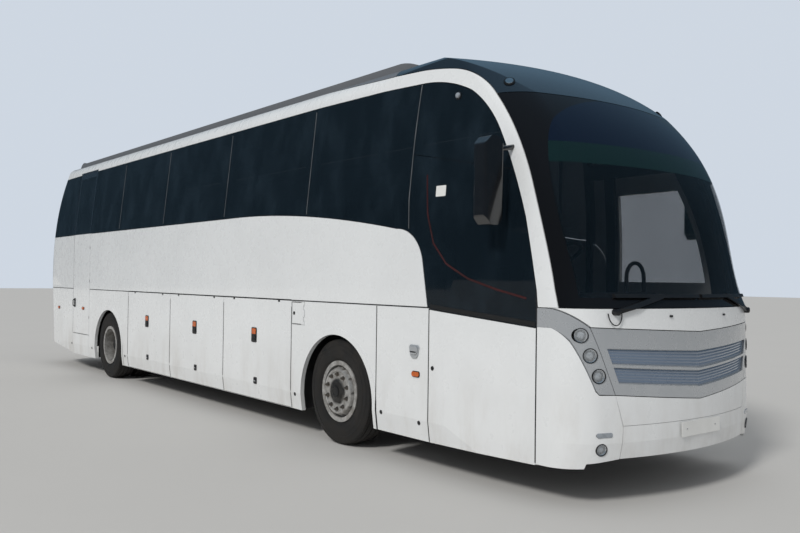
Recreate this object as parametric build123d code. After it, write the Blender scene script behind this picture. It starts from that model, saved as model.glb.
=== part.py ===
from build123d import *
import math
import os

# Two-axle high-floor touring coach, right-hand drive. Millimetres.
# +Z up, the front faces -Y, the coach's left side is +X. The origin is on the ground, at mid
# length, on the centre line. Heights are above the ground and stations are along Y.

# Overall sizes
HALF_W = 1250.0          # half width over the flat sides
NOSE_Y = -6320.0         # foremost point of the bumper
TAIL_Y = 6320.0          # rearmost point of the tail
ROOF_Z = 3570.0          # crown of the roof

# Body section: half width and height of each change of direction
SKIRT_Z = 250.0          # lower edge of the side skirts
SKIRT_IN = 22.0          # how far the skirt's lower edge is tucked in
TUCK_Z = 420.0           # where the tuck starts
SEAM_Z = 1366.0          # seam between the skirt and the waist panels
WAIST_Z = 2285.0         # lower edge of the saloon glass
GLASS_TOP_Z = 3330.0     # upper edge of the saloon glass
GLASS_TOP_X = 1140.0
CANTRAIL_TOP_Z = 3496.0
CANTRAIL_TOP_X = 1050.0
SHOULDER_X = 900.0       # where the roof's crown starts
SHOULDER_Z = 3528.0

# Wall and pane thicknesses
WALL = 40.0              # doors, skirts and waist panels
GLASS = 8.0              # bonded panes
ROOF_T = 40.0
POST = 50.0              # depth of the posts behind the panes
FRAME_IN = 90.0          # inner face of the frame behind the panels
SEAT_GAP = 0.3           # between a pane or panel and the post that carries it
SHUT = 6.0               # shut gap round a panel or a door

# Axles and wheels
FRONT_AXLE_Y = -3215.0
REAR_AXLE_Y = 3110.0
HUB_Z = 512.0
TYRE_R = 512.0
TYRE_W = 290.0
RIM_R = 298.0            # flange of the rim
WHEEL_FACE_X = 1225.0    # outer side wall of the rear tyres
FRONT_FACE_X = 1208.0    # outer side wall of the front tyres
TWIN_GAP = 45.0          # between twin tyres
KINGPIN_X = 880.0
ARCH_R = 610.0           # wheel arch, round at the top with upright sides
ARCH_TOP_Z = 1058.0

# Stations of the upright seams on each side
CORNER_Y = -5733.0       # cab side to front corner
CAB_REAR_Y = -4595.0     # rear edge of the cab side and of the entrance door
ARCH_FRONT_Y = -3875.0   # panel ahead of the front arch
LOCKER_Y = (-2405.0, -855.0, 715.0, 2255.0)   # locker door seams, front to rear
EXIT_Y = (4025.0, 4875.0)                     # emergency door, right side
EXIT_Z = 605.0                                # its sill

# Window divisions, front to rear
WINDOW_Y = (-4315.0, -2670.0, -820.0, 1010.0, 2700.0, EXIT_Y[0], EXIT_Y[1])


# Plain helpers

def edges_of(points, to_vec):
    """Edges along an outline: a point, or ("arc", middle, end) for a round stretch."""
    made = []
    here = points[0]
    for item in list(points[1:]) + [points[0]]:
        if item[0] == "arc":
            made.append(Edge.make_three_point_arc(to_vec(here), to_vec(item[1]), to_vec(item[2])))
            here = item[2]
            continue
        if math.dist(here, item) > 1e-6:
            made.append(Edge.make_line(to_vec(here), to_vec(item)))
        here = item
    return made


def outline_face(points, to_vec):
    return Face(Wire(edges_of(points, to_vec)))


def side_prism(points, x0, x1):
    """Solid with an outline in (y, z), from x0 to x1."""
    face = outline_face(points, lambda p: Vector(x0, p[0], p[1]))
    return Solid.extrude(face, Vector(x1 - x0, 0, 0))


def front_prism(points, y0, y1):
    """Solid with an outline in (x, z), from y0 to y1."""
    face = outline_face(points, lambda p: Vector(p[0], y0, p[1]))
    return Solid.extrude(face, Vector(0, y1 - y0, 0))


def plan_prism(points, z0, z1):
    """Solid with an outline in (x, y), from z0 to z1."""
    face = outline_face(points, lambda p: Vector(p[0], p[1], z0))
    return Solid.extrude(face, Vector(0, 0, z1 - z0))


def block(x0, x1, y0, y1, z0, z1):
    """Box between two opposite corners."""
    low = (min(x0, x1), min(y0, y1), min(z0, z1))
    size = (abs(x1 - x0), abs(y1 - y0), abs(z1 - z0))
    return Solid.make_box(*size).moved(Location(low))


def rod(start, end, radius):
    """Round bar between two points."""
    a = Vector(*start)
    b = Vector(*end)
    return Solid.make_cylinder(radius, (b - a).length, Plane(origin=a, z_dir=b - a))


def flip(shape):
    """The same piece on the other side of the coach."""
    return shape.mirror(Plane.YZ)


def both(shape):
    return [shape, flip(shape)]


def fused(parts):
    parts = list(parts)
    return parts[0].fuse(*parts[1:]) if len(parts) > 1 else parts[0]


def solids_of(shapes):
    found = []
    for shape in shapes if isinstance(shapes, (list, tuple)) else [shapes]:
        if shape is not None:
            found += list(shape.solids())
    return found


def largest(shape):
    return max(solids_of(shape), key=lambda s: s.volume)


NODES = {}


def keep(name, shapes):
    """Stores one node as its solids."""
    NODES[name] = solids_of(shapes)


# Outer form of the body

# Levels of the front and the tail. Columns: height, nose station, half width, tail station
LOWER_LEVELS = (
    (200.0, NOSE_Y + 30, HALF_W, TAIL_Y - 190),
    (460.0, NOSE_Y, HALF_W, TAIL_Y - 135),
    (1410.0, NOSE_Y + 18, HALF_W, TAIL_Y),
)
UPPER_LEVELS = (
    (1410.0, NOSE_Y + 18, HALF_W, TAIL_Y),
    (2100.0, NOSE_Y + 205, HALF_W, TAIL_Y - 32),
    (2740.0, NOSE_Y + 468, 1200.0, TAIL_Y - 110),
    (3070.0, NOSE_Y + 745, 1166.0, TAIL_Y - 240),
    (3640.0, NOSE_Y + 1340, 1100.0, TAIL_Y - 660),
)
SCREEN_BASE_Z = UPPER_LEVELS[0][0]
BROW_Z = UPPER_LEVELS[3][0]
BROW_Y = UPPER_LEVELS[3][1]
NOSE_R = 2900.0          # plan radius of the front
CORNER_R = 350.0         # plan radius of the front corners
CORNER_IN = 55.0         # how far the end of the corner is inside the flat side
TAIL_R = 30000.0
TAIL_CORNER_R = 190.0
TAPER = math.radians(3.0)
TAIL_TAPER = math.radians(1.2)
OUTSIDE = 130.0          # how far the plan runs outside the section where the section rules


def plan_half(nose, half, tail, inset):
    """Right-hand half of the plan at one level, from the nose to the tail."""
    nose += inset
    tail -= inset
    half -= inset
    nose_r = NOSE_R - inset
    corner_r = CORNER_R - inset
    end_x = half - CORNER_IN
    # The corner runs from the nose arc's slope to the taper's slope
    last = math.pi / 2 - TAPER
    first = math.asin((end_x - corner_r * math.sin(last)) / (nose_r - corner_r))
    x_a = nose_r * math.sin(first)
    y_a = nose + nose_r * (1 - math.cos(first))
    mid = (first + last) / 2

    def corner(angle):
        return (x_a + corner_r * (math.sin(angle) - math.sin(first)),
                y_a + corner_r * (math.cos(first) - math.cos(angle)))

    front = [(0.0, nose), (nose_r * math.sin(first / 2), nose + nose_r * (1 - math.cos(first / 2))),
             (x_a, y_a), corner(mid), corner(last)]
    wide = half + OUTSIDE
    front_wide = (wide, corner(last)[1] + (wide - corner(last)[0]) / math.tan(TAPER))
    tail_corner = TAIL_CORNER_R - inset
    t_end = half - 12.0
    t_last = math.pi / 2 - TAIL_TAPER
    t_first = math.asin((t_end - tail_corner * math.sin(t_last)) / (TAIL_R - tail_corner))
    x_t = TAIL_R * math.sin(t_first)
    y_t = tail - TAIL_R * (1 - math.cos(t_first))
    t_mid = (t_first + t_last) / 2

    def tail_point(angle):
        return (x_t + tail_corner * (math.sin(angle) - math.sin(t_first)),
                y_t - tail_corner * (math.cos(t_first) - math.cos(angle)))

    rear = [tail_point(t_last), tail_point(t_mid), (x_t, y_t),
            (TAIL_R * math.sin(t_first / 2), tail - TAIL_R * (1 - math.cos(t_first / 2))), (0.0, tail)]
    tail_wide = (wide, rear[0][1] - (wide - rear[0][0]) / math.tan(TAIL_TAPER))
    return front, front_wide, tail_wide, rear


def plan_wire(level, inset):
    """Closed plan outline at one level: arcs at the nose, corners and tail, lines at the sides."""
    z, nose, half, tail = level
    front, front_wide, tail_wide, rear = plan_half(nose, half, tail, inset)

    def at(p, side=1):
        return Vector(side * p[0], p[1], z)

    arcs = Edge.make_three_point_arc
    line = Edge.make_line
    made = [arcs(at(front[2], -1), at(front[0]), at(front[2]))]
    made.append(arcs(at(front[2]), at(front[3]), at(front[4])))
    made.append(line(at(front[4]), at(front_wide)))
    made.append(line(at(front_wide), at(tail_wide)))
    made.append(line(at(tail_wide), at(rear[0])))
    made.append(arcs(at(rear[0]), at(rear[1]), at(rear[2])))
    made.append(arcs(at(rear[2]), at(rear[4]), at(rear[2], -1)))
    made.append(arcs(at(rear[2], -1), at(rear[1], -1), at(rear[0], -1)))
    made.append(line(at(rear[0], -1), at(tail_wide, -1)))
    made.append(line(at(tail_wide, -1), at(front_wide, -1)))
    made.append(line(at(front_wide, -1), at(front[4], -1)))
    made.append(arcs(at(front[4], -1), at(front[3], -1), at(front[2], -1)))
    return Wire(made)


def section_points(inset, bottom):
    """Body section in (x, z), closed, with both sides."""
    lean = math.atan2(HALF_W - GLASS_TOP_X, GLASS_TOP_Z - WAIST_Z)
    shift = inset * math.tan(lean / 2)
    right = [
        (HALF_W - SKIRT_IN * (TUCK_Z - bottom) / (TUCK_Z - SKIRT_Z) - inset, bottom),
        (HALF_W - inset, TUCK_Z),
        (HALF_W - inset, WAIST_Z - shift),
        (GLASS_TOP_X - inset, GLASS_TOP_Z - inset * 0.3),
    ]
    shoulder = (SHOULDER_X, SHOULDER_Z - inset)
    bend = (CANTRAIL_TOP_X - 0.55 * inset, CANTRAIL_TOP_Z - 0.85 * inset)
    left = [(-x, z) for x, z in right]
    crown = ("arc", (0.0, ROOF_Z - inset), (-shoulder[0], shoulder[1]))
    return right + [("arc", bend, shoulder), crown, ("arc", (-bend[0], bend[1]), left[3])] + [
        left[2], left[1], left[0]]


def brow_waste(inset):
    """What lies above the front dome, turned about an upright axis behind the nose."""
    axis_y = BROW_Y + NOSE_R
    points = [
        (BROW_Y + 0.7 * inset, BROW_Z - 0.7 * inset),
        ("arc", (BROW_Y + 500 + 0.4 * inset, BROW_Z + 330 - 0.9 * inset),
         (BROW_Y + 1450, ROOF_Z - inset)),
        (BROW_Y + 1450, ROOF_Z + 700),
        (BROW_Y - 1500, ROOF_Z + 700),
        (BROW_Y - 1500, BROW_Z - 0.7 * inset),
    ]
    face = outline_face(points, lambda p: Vector(0, p[0], p[1]))
    axis = Axis((0, axis_y, 0), (0, 0, 1))
    half_turn = Solid.revolve(face, 90, axis)
    other = Solid.revolve(face, -90, axis)
    return [half_turn, other]


def body_form(inset, bottom=200.0):
    """Whole body as one solid, with every face moved in by the inset."""
    lower = Solid.make_loft([plan_wire((bottom,) + LOWER_LEVELS[0][1:], inset),
                             plan_wire(LOWER_LEVELS[1], inset), plan_wire(LOWER_LEVELS[2], inset)], True)
    upper = Solid.make_loft([plan_wire(level, inset) for level in UPPER_LEVELS], False)
    prism = front_prism(section_points(inset, bottom), NOSE_Y - 100, TAIL_Y + 100)
    plan = largest(lower.fuse(upper))
    form = largest(prism.intersect(plan))
    for waste in brow_waste(inset):
        form = largest(form.cut(waste))
    return form


# The shells that the outer panels are cut from
OUTER = body_form(0.0)
UNDER_WALL = body_form(WALL, -200.0)
WALL_SHELL = OUTER.cut(UNDER_WALL)
GLASS_SHELL = OUTER.cut(body_form(GLASS, -200.0))
INNER = body_form(FRAME_IN, -200.0)
PANEL_FRAME = body_form(WALL + SEAT_GAP).cut(INNER)
DOOR_FRAME = body_form(WALL + 6.0).cut(INNER)
PANE_FRAME = body_form(GLASS + SEAT_GAP).cut(body_form(GLASS + SEAT_GAP + POST, -200.0))
PROUD = body_form(-4.0)
LENS_SHELL = PROUD.cut(UNDER_WALL)
WIPER_SKIN = body_form(-26.0)
WIPER_SHELL = WIPER_SKIN.cut(PROUD)
BODY_CLEAR = body_form(-SEAT_GAP)
WIDE = HALF_W + 80.0     # past the body's side, for cuts


def region(points, side=0):
    """Prism with an outline in (y, z): over the whole width, or over one side."""
    if side == 0:
        return side_prism(points, -WIDE, WIDE)
    return side_prism(points, side * 500.0, side * WIDE)


def take(shell, prism, *less):
    """The stretch of a shell inside a prism, less other prisms."""
    got = shell.intersect(prism)
    pieces = solids_of(got)
    for other in less:
        pieces = [s for piece in pieces for s in solids_of(piece.cut(other))]
    return [piece for piece in pieces if piece.volume > 1000]


def rect(y0, y1, z0, z1):
    return [(y0, z0), (y1, z0), (y1, z1), (y0, z1)]


# Lines seen from the side, (y, z)

# Columns: station, height, and how far a shifted line moves along each
OUTER_LINE = (
    (-5950.0, 1290.0, -1.0, 0.0), (-5883.0, 1536.0, -0.97, 0.2),
    ("arc", (-5800.0, 1870.0, -0.96, 0.27), (-5643.0, 2358.0, -0.93, 0.37)),
    ("arc", (-5491.0, 2676.0, -0.87, 0.5), (-5195.0, 3078.0, -0.73, 0.68)),
    ("arc", (-5029.0, 3227.0, -0.6, 0.8), (-4707.0, 3366.0, -0.25, 0.97)),
    ("arc", (-4485.0, 3404.0, -0.13, 1.0), (-4258.0, 3424.0, 0.0, 1.0)),
    (-3700.0, 3444.0, 0.0, 1.0), (-2725.0, CANTRAIL_TOP_Z, 0.0, 1.0))
INNER_LINE = (
    (-5757.0, 1200.0, 1.0, 0.0), (-5733.0, 1534.0, 1.0, -0.1),
    ("arc", (-5668.0, 1860.0, 0.97, -0.22), (-5615.0, 2072.0, 0.96, -0.27)),
    ("arc", (-5503.0, 2362.0, 0.92, -0.4), (-5300.0, 2760.0, 0.84, -0.54)),
    ("arc", (-5180.0, 2927.0, 0.75, -0.66), (-4932.0, 3143.0, 0.55, -0.83)),
    ("arc", (-4745.0, 3222.0, 0.3, -0.95), (-4319.0, 3299.0, 0.0, -1.0)),
    (-3900.0, 3312.0, 0.0, -1.0), (-2725.0, GLASS_TOP_Z, 0.0, -1.0))


def shifted(line, off):
    def at(row):
        return (row[0] + off * row[2], row[1] + off * row[3])
    return [("arc", at(row[1]), at(row[2])) if row[0] == "arc" else at(row) for row in line]


def pillar_outer(off=0.0):
    """Front and upper edge of the white band, from the screen's base to the roof."""
    return shifted(OUTER_LINE, off)


def pillar_inner(off=0.0):
    """Rear and lower edge of the same band, from the screen's base to the cantrail."""
    return shifted(INNER_LINE, off)


def waist_top(off=0.0):
    """Upper edge of the white waist panel with its swoop, from the cab's rear edge to the tail."""
    return [(-4572.0 - off, SEAM_Z), (-4502.0 - off, 1745.0 + 0.2 * off),
            ("arc", (-4405.0 - 0.6 * off, 1935.0 + 0.8 * off), (-4150.0, 2040.0 + off)),
            ("arc", (-2650.0, 2225.0 + off), (-925.0, WAIST_Z + off)),
            (TAIL_Y + 50.0, WAIST_Z + off)]


def backwards(path):
    """The same line from its end to its start."""
    stops = [p if p[0] != "arc" else p[2] for p in path]
    made = [stops[-1]]
    for index in range(len(path) - 1, 0, -1):
        step = path[index]
        made.append(("arc", step[1], stops[index - 1]) if step[0] == "arc" else stops[index - 1])
    return made


RAMP_Y = 4785.0          # where the tail's lower edge starts to rise
RAMP_END_Z = 400.0       # its height at the tail

# Rear edge of the side glass and of the side panels, from below upwards
TAIL_EDGE = [(6000.0, 0.0), (6055.0, RAMP_END_Z), (6180.0, SEAM_Z), (6150.0, WAIST_Z),
             ("arc", (6050.0, 2880.0), (5770.0, 3340.0)), (5560.0, ROOF_Z + 60)]


def tail_edge(off=0.0):
    return [(p[0] + off, p[1]) if p[0] != "arc" else
            ("arc", (p[1][0] + off, p[1][1]), (p[2][0] + off, p[2][1])) for p in TAIL_EDGE]


AHEAD_OF_TAIL = region(tail_edge(-SHUT / 2) + [(NOSE_Y - 50, ROOF_Z + 60), (NOSE_Y - 50, 0.0)])
BEHIND_TAIL = region(tail_edge(SHUT / 2) + [(TAIL_Y + 50, ROOF_Z + 60), (TAIL_Y + 50, 0.0)])


def arch(centre, grow=0.0, x0=-WIDE, x1=WIDE):
    """The opening of a wheel arch."""
    r = ARCH_R + grow
    mid = ARCH_TOP_Z - ARCH_R
    return side_prism([(centre - r, 0.0), (centre - r, mid), ("arc", (centre, mid + r), (centre + r, mid)),
                       (centre + r, 0.0)], x0, x1)


ARCHES = [arch(FRONT_AXLE_Y), arch(REAR_AXLE_Y)]
LIP_W = 60.0                 # width of the moulding round a wheel arch
LIP_ARCHES = [arch(FRONT_AXLE_Y, LIP_W), arch(REAR_AXLE_Y, LIP_W)]
HALF = SHUT / 2
SKIRT_TOP = SEAM_Z - HALF - 3.0
CAB_SILL_FRONT_Z = 1254.0    # lower edge of the cab glass at the corner seam
FLAP_Y = (-2655.0, LOCKER_Y[0])
FLAP_Z = (1122.0, 1352.0)
CAB_SILL_REAR_Z = 1348.0     # its height at the cab's rear edge

# Fixed skirt panels. Columns: front station, rear station
SKIRTS = ((CAB_REAR_Y, ARCH_FRONT_Y), (ARCH_FRONT_Y, LOCKER_Y[0]), (LOCKER_Y[3], EXIT_Y[0]))


def skirt(y0, y1, side):
    cuts = list(LIP_ARCHES)
    if side < 0 and y1 == LOCKER_Y[0]:
        flap = rect(FLAP_Y[0] - HALF, FLAP_Y[1] + HALF, FLAP_Z[0] - HALF, FLAP_Z[1] + HALF)
        cuts.append(region(flap, side))
    return take(WALL_SHELL, region(rect(y0 + HALF, y1 - HALF, SKIRT_Z, SKIRT_TOP), side), *cuts)


def arch_mouldings():
    """Raised rings round the wheel arches, cut square at the seam ahead of the front arch."""
    made = []
    for side in (-1, 1):
        for centre, hole in zip((FRONT_AXLE_Y, REAR_AXLE_Y), ARCHES):
            ahead = centre - (FRONT_AXLE_Y - ARCH_FRONT_Y) + HALF + SEAT_GAP
            room = region(rect(ahead, centre + 900.0, SKIRT_Z, 2000.0), side)
            ring = largest(arch(centre, LIP_W - SEAT_GAP).intersect(room))
            made += take(LENS_SHELL, ring, hole)
    return made


keep("arch_mouldings", arch_mouldings())


def skirts():
    made = []
    for side in (-1, 1):
        for y0, y1 in SKIRTS:
            made += skirt(y0, y1, side)
        rear_from = EXIT_Y[1] if side < 0 else EXIT_Y[0]
        slope = (RAMP_END_Z + 15 - SKIRT_Z) / (TAIL_Y - RAMP_Y)
        low = [(y, SKIRT_Z + max(0.0, y - RAMP_Y) * slope) for y in (rear_from + HALF, RAMP_Y, TAIL_Y)]
        low = [p for p in low if p[0] >= rear_from + HALF]
        tail = low + [(TAIL_Y, SKIRT_TOP), (rear_from + HALF, SKIRT_TOP)]
        made += take(WALL_SHELL, region(tail, side), BEHIND_TAIL)
        if side < 0:
            below = rect(EXIT_Y[0] + HALF, EXIT_Y[1] - HALF, SKIRT_Z, EXIT_Z - HALF)
            made += take(WALL_SHELL, region(below, side))
    cab = [(CORNER_Y + HALF, SKIRT_Z + 18), (CAB_REAR_Y - HALF, SKIRT_Z),
           (CAB_REAR_Y - HALF, CAB_SILL_REAR_Z),
           (CORNER_Y + HALF, CAB_SILL_FRONT_Z)]
    made += take(WALL_SHELL, region(cab, -1))
    return made


# Waist panels: white band between the skirt seam and the saloon glass, with the swoop

def waist_region(side):
    path = waist_top(-HALF)
    outline = [(path[0][0], SEAM_Z + HALF)] + path[1:] + [(TAIL_Y + 50.0, SEAM_Z + HALF)]
    return region(outline, side)


def waists():
    made = []
    for side in (-1, 1):
        solid = take(WALL_SHELL, waist_region(side), BEHIND_TAIL)
        if side < 0:
            cut = region(rect(EXIT_Y[0] - HALF, EXIT_Y[1] + HALF, EXIT_Z, ROOF_Z), side)
            solid = [s for one in solid for s in solids_of(one.cut(cut))]
        made += solid
    return made


keep("waist_panels", waists())

# Cantrails: the white bands that sweep down into the front pillars
BAND_SPLIT_Y = -2725.0


def band_region(side, grow=0.0):
    lower = pillar_inner(-HALF + grow)
    upper = pillar_outer(-HALF + grow)
    rear = [(6300.0, CANTRAIL_TOP_Z - HALF + grow), (6300.0, GLASS_TOP_Z + HALF - grow)]
    return region(upper + rear + backwards(lower), side)


def cantrails():
    made = []
    for side in (-1, 1):
        cuts = [BEHIND_TAIL, region(rect(BAND_SPLIT_Y - 1.5, BAND_SPLIT_Y + 1.5, 0, 4000), side),
                region(rect(NOSE_Y - 50, 0, 0, SCREEN_BASE_Z), side)]
        if side < 0:
            exit_hole = rect(EXIT_Y[0] - HALF, EXIT_Y[1] + HALF, EXIT_Z, GLASS_TOP_Z + 30 + HALF)
            cuts.append(region(exit_hole, side))
        made += take(WALL_SHELL, band_region(side), *cuts)
    return made


keep("cantrails", cantrails())

# Roof and front dome
DOME_REAR_Y = -3925.0
ABOVE_BAND = region(pillar_outer(HALF) + [(6400.0, CANTRAIL_TOP_Z + HALF), (6400.0, 4000.0),
                                          (NOSE_Y - 60, 4000.0), (NOSE_Y - 60, 1300.0)])


def roof():
    return take(WALL_SHELL, ABOVE_BAND, region(rect(NOSE_Y - 60, DOME_REAR_Y + HALF, 0, 4000)), BEHIND_TAIL)


def dome():
    return take(WALL_SHELL, ABOVE_BAND, region(rect(DOME_REAR_Y - HALF, TAIL_Y, 0, 4000)),
                region(rect(NOSE_Y - 60, 0, 0, BROW_Z + HALF)))


def screen():
    return take(GLASS_SHELL, ABOVE_BAND, region(rect(DOME_REAR_Y - HALF, TAIL_Y, 0, 4000)),
                region(rect(NOSE_Y - 60, 0, BROW_Z - HALF, 4000)),
                region(rect(NOSE_Y - 60, 0, 0, SCREEN_BASE_Z + HALF)))


keep("roof_panel", roof())
keep("front_dome", dome())
keep("windscreen", screen())

# Roof pod: raised strip along each side of the roof with a white cap
POD_X = (700.0, 965.0)
POD_Y = (-4075.0, 5540.0)
POD_TOP_Z = 3608.0


def pods():
    outline = [(POD_Y[0] - 90, 3490.0), ("arc", (POD_Y[0] + 60, 3560.0), (POD_Y[0] + 260, POD_TOP_Z - 8)),
               (POD_Y[1] - 300, POD_TOP_Z - 8), ("arc", (POD_Y[1] - 80, 3580.0), (POD_Y[1], 3490.0))]
    made = []
    for side in (-1, 1):
        strip = side_prism(outline, side * POD_X[0], side * POD_X[1])
        made += solids_of(strip.cut(BODY_CLEAR))
    return made


keep("roof_pod", pods())

# Entrance door on the left, ahead of the front axle
ENTRY_Y = (CORNER_Y + HALF, CAB_REAR_Y - HALF)
ENTRY_Z = (262.0, 2700.0)
ENTRY_FRAME = 75.0
ENTRY_PANES_Z = ((430.0, 1330.0), (1450.0, 2615.0))   # lower and upper pane


def entry_region(grow, z0=ENTRY_Z[0], z1=ENTRY_Z[1]):
    """The door's outline between two heights, with its front edge along the white band."""
    line = pillar_inner(HALF - grow)
    box = region(rect(ENTRY_Y[0] - grow, ENTRY_Y[1] + grow, z0 - grow, z1 + grow), 1)
    ahead = region(line + [(-2700.0, 3600.0), (NOSE_Y, 3600.0), (NOSE_Y, 1200.0)], 1)
    return largest(box.cut(ahead))


def entry_holes(grow):
    holes = []
    for z0, z1 in ENTRY_PANES_Z:
        holes.append(entry_region(grow - ENTRY_FRAME, z0 + ENTRY_FRAME, z1 - ENTRY_FRAME))
    return holes


keep("entrance_door", take(WALL_SHELL, entry_region(0.0), *entry_holes(0.0)))
keep("entrance_door_glass", [s for hole in entry_holes(-SEAT_GAP) for s in take(GLASS_SHELL, hole)])

# Side glass: panes between the divisions, with the driver's window and the quarter pane
PANE_GAP = 5.0
QUARTER_LINE = ((-4300.0, 2678.0), (-5100.0, 2516.0))  # under the quarter pane, right side


def glass_region(side):
    top = pillar_inner(HALF)
    low = waist_top(HALF)
    sill_rear = (CAB_REAR_Y - HALF, CAB_SILL_REAR_Z + SHUT)
    sill_front = (CORNER_Y + HALF, CAB_SILL_FRONT_Z + SHUT)
    outline = [sill_rear, (sill_rear[0], SEAM_Z)] + low
    outline += [(6300.0, WAIST_Z + HALF), (6300.0, GLASS_TOP_Z - HALF), (top[-1][0], GLASS_TOP_Z - HALF)]
    outline += backwards(top)[1:-1] + [(CORNER_Y + HALF, 1560.0), sill_front]
    return region(outline, side)


def side_panes(side):
    half = PANE_GAP / 2
    cuts = [BEHIND_TAIL]
    for y in WINDOW_Y[:5]:
        cuts.append(region(rect(y - half, y + half, 0, 4000), side))
    if side < 0:
        cuts.append(region(rect(EXIT_Y[0] - HALF, EXIT_Y[1] + HALF, 0, 4000), side))
        (y0, z0), (y1, z1) = QUARTER_LINE
        slope = (z1 - z0) / (y1 - y0)
        back, front = (WINDOW_Y[0], z0 + slope * (WINDOW_Y[0] - y0)), (-5600.0, z0 + slope * (-5600.0 - y0))
        cuts.append(region([(back[0], back[1] - half), (back[0], back[1] + half), (front[0], front[1] + half),
                            (front[0], front[1] - half)], side))
    else:
        cuts.append(entry_region(SHUT))
        cuts.append(region(rect(-5700.0, WINDOW_Y[0], ENTRY_Z[1] - 1, ENTRY_Z[1] + SHUT), side))
    return take(GLASS_SHELL, glass_region(side), *cuts)


keep("side_glass", side_panes(-1) + side_panes(1))
# Hinges: a pin in a lug on the body, running in bores in the door
PIN_R = 4.0
PIN_FIT = 0.05           # radial running clearance
PIN_INSET = 8.0          # of the pin's axis from the outer skin and from the door's edge
LUG_HALF = 17.0
NOTCH_HALF = 23.0


def local_box(at, along, out, back, outs, backs, half):
    """Box round a pin: extents outwards, towards the fixed side, and half length along the pin."""
    at, along, out, back = (Vector(*v) for v in (at, along, out, back))
    corner = at + out * outs[0] + back * backs[0] - along * half
    sides = (out * (outs[1] - outs[0]), back * (backs[1] - backs[0]), along * (2 * half))
    far = corner + sides[0] + sides[1]
    face = Face(Wire.make_polygon([corner, corner + sides[0], far, corner + sides[1]]))
    return Solid.extrude(face, sides[2])


def hinge(at, along, out, back, reach_in, reach_back):
    """Lug with its pin, and what the door loses round it."""
    lug = local_box(at, along, out, back, (-reach_in, 6.0), (-6.0, SHUT + 6.0), LUG_HALF)
    root = local_box(at, along, out, back, (-reach_in, -WALL + PIN_INSET - 1.0), (-6.0, reach_back), LUG_HALF)
    lug = lug.fuse(root) if reach_in > WALL else local_box(
        at, along, out, back, (-reach_in, 6.0), (-6.0, reach_back), LUG_HALF)
    a = Vector(*at) - Vector(*along) * (NOTCH_HALF + 18)
    b = Vector(*at) + Vector(*along) * (NOTCH_HALF + 18)
    pin = rod(tuple(a), tuple(b), PIN_R)
    a = Vector(*at) - Vector(*along) * (NOTCH_HALF + 20)
    b = Vector(*at) + Vector(*along) * (NOTCH_HALF + 20)
    notch = local_box(at, along, out, back, (-70.0, 30.0), (-12.0, 40.0), NOTCH_HALF)
    return largest(lug.fuse(pin)), [notch, rod(tuple(a), tuple(b), PIN_R + PIN_FIT)]


def cut_all(shape, tools):
    for tool in tools:
        shape = largest(shape.cut(tool))
    return shape


# Front mouldings, seen from the front as (x, z)
GRILLE_TOP_Z = (1228.0, 1273.0)      # at the centre line and at the outer end
GRILLE_LOW_Z = (728.0, 800.0)
GRILLE_TOP_X = 1045.0
GRILLE_LOW_X = 865.0
FLAP_TOP_Z = 578.0                   # seam between the bumper and its lower flap
BUMPER_Z = 345.0                     # lower edge of the bumper
CORNER_Z = 285.0                     # lower edge of the front corners
FRONT_Y = (NOSE_Y - 50.0, CORNER_Y - HALF)


def whole(right):
    """Outline over both sides from its right half, which starts and ends on the centre line."""
    return right + [(-x, z) for x, z in reversed(right) if x != 0]


def grow_x(points, off):
    return [(x + off, z) for x, z in points]


GRILLE_HALF = [(0.0, GRILLE_TOP_Z[0]), (GRILLE_TOP_X, GRILLE_TOP_Z[1]), (GRILLE_LOW_X, GRILLE_LOW_Z[1]),
               (0.0, GRILLE_LOW_Z[0])]
CLUSTER_FOOT_Z = 1266.0              # lower edge of the silver band at the side
CLUSTER = [(GRILLE_TOP_X + SHUT, GRILLE_TOP_Z[1]), (1196.0, 1404.0), (1300.0, 1404.0),
           (1300.0, CLUSTER_FOOT_Z),
           (1192.0, CLUSTER_FOOT_Z), (1140.0, 1178.0), (1012.0, 832.0), (990.0, GRILLE_LOW_Z[1] + 6),
           (GRILLE_LOW_X + SHUT, GRILLE_LOW_Z[1])]
# Seam between a front corner and the bumper
CORNER_SEAM = [(GRILLE_LOW_X, GRILLE_LOW_Z[1]), (803.0, 565.0), (822.0, 350.0), (822.0, 200.0)]


def front_take(shell, points, *less):
    return take(shell, front_prism(points, *FRONT_Y), *less)


def apron():
    """White panel between the windscreen and the grille, up into the front pillars."""
    points = whole([(0.0, GRILLE_TOP_Z[0] + SHUT), (GRILLE_TOP_X - 4, GRILLE_TOP_Z[1] + SHUT),
                    (1187.0, SCREEN_BASE_Z - HALF), (0.0, SCREEN_BASE_Z - HALF)])
    return front_take(WALL_SHELL, points)


def corners():
    made = []
    right = [(1300.0, CLUSTER_FOOT_Z - 1), (1192.0, CLUSTER_FOOT_Z - 1), (1140.0 + 5, 1178.0 - SHUT),
             (1012.0 + SHUT, 832.0 - SHUT), (992.0, GRILLE_LOW_Z[1] - 1),
             (GRILLE_LOW_X + 1, GRILLE_LOW_Z[1] - SHUT)]
    right += grow_x(CORNER_SEAM[1:3], HALF)
    right += [(822.0 + HALF, BUMPER_Z), (1062.0, BUMPER_Z - 25), (1072.0, CORNER_Z), (1300.0, CORNER_Z - 17)]
    for side in (1, -1):
        made += front_take(WALL_SHELL, [(side * x, z) for x, z in right])
    return made


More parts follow.
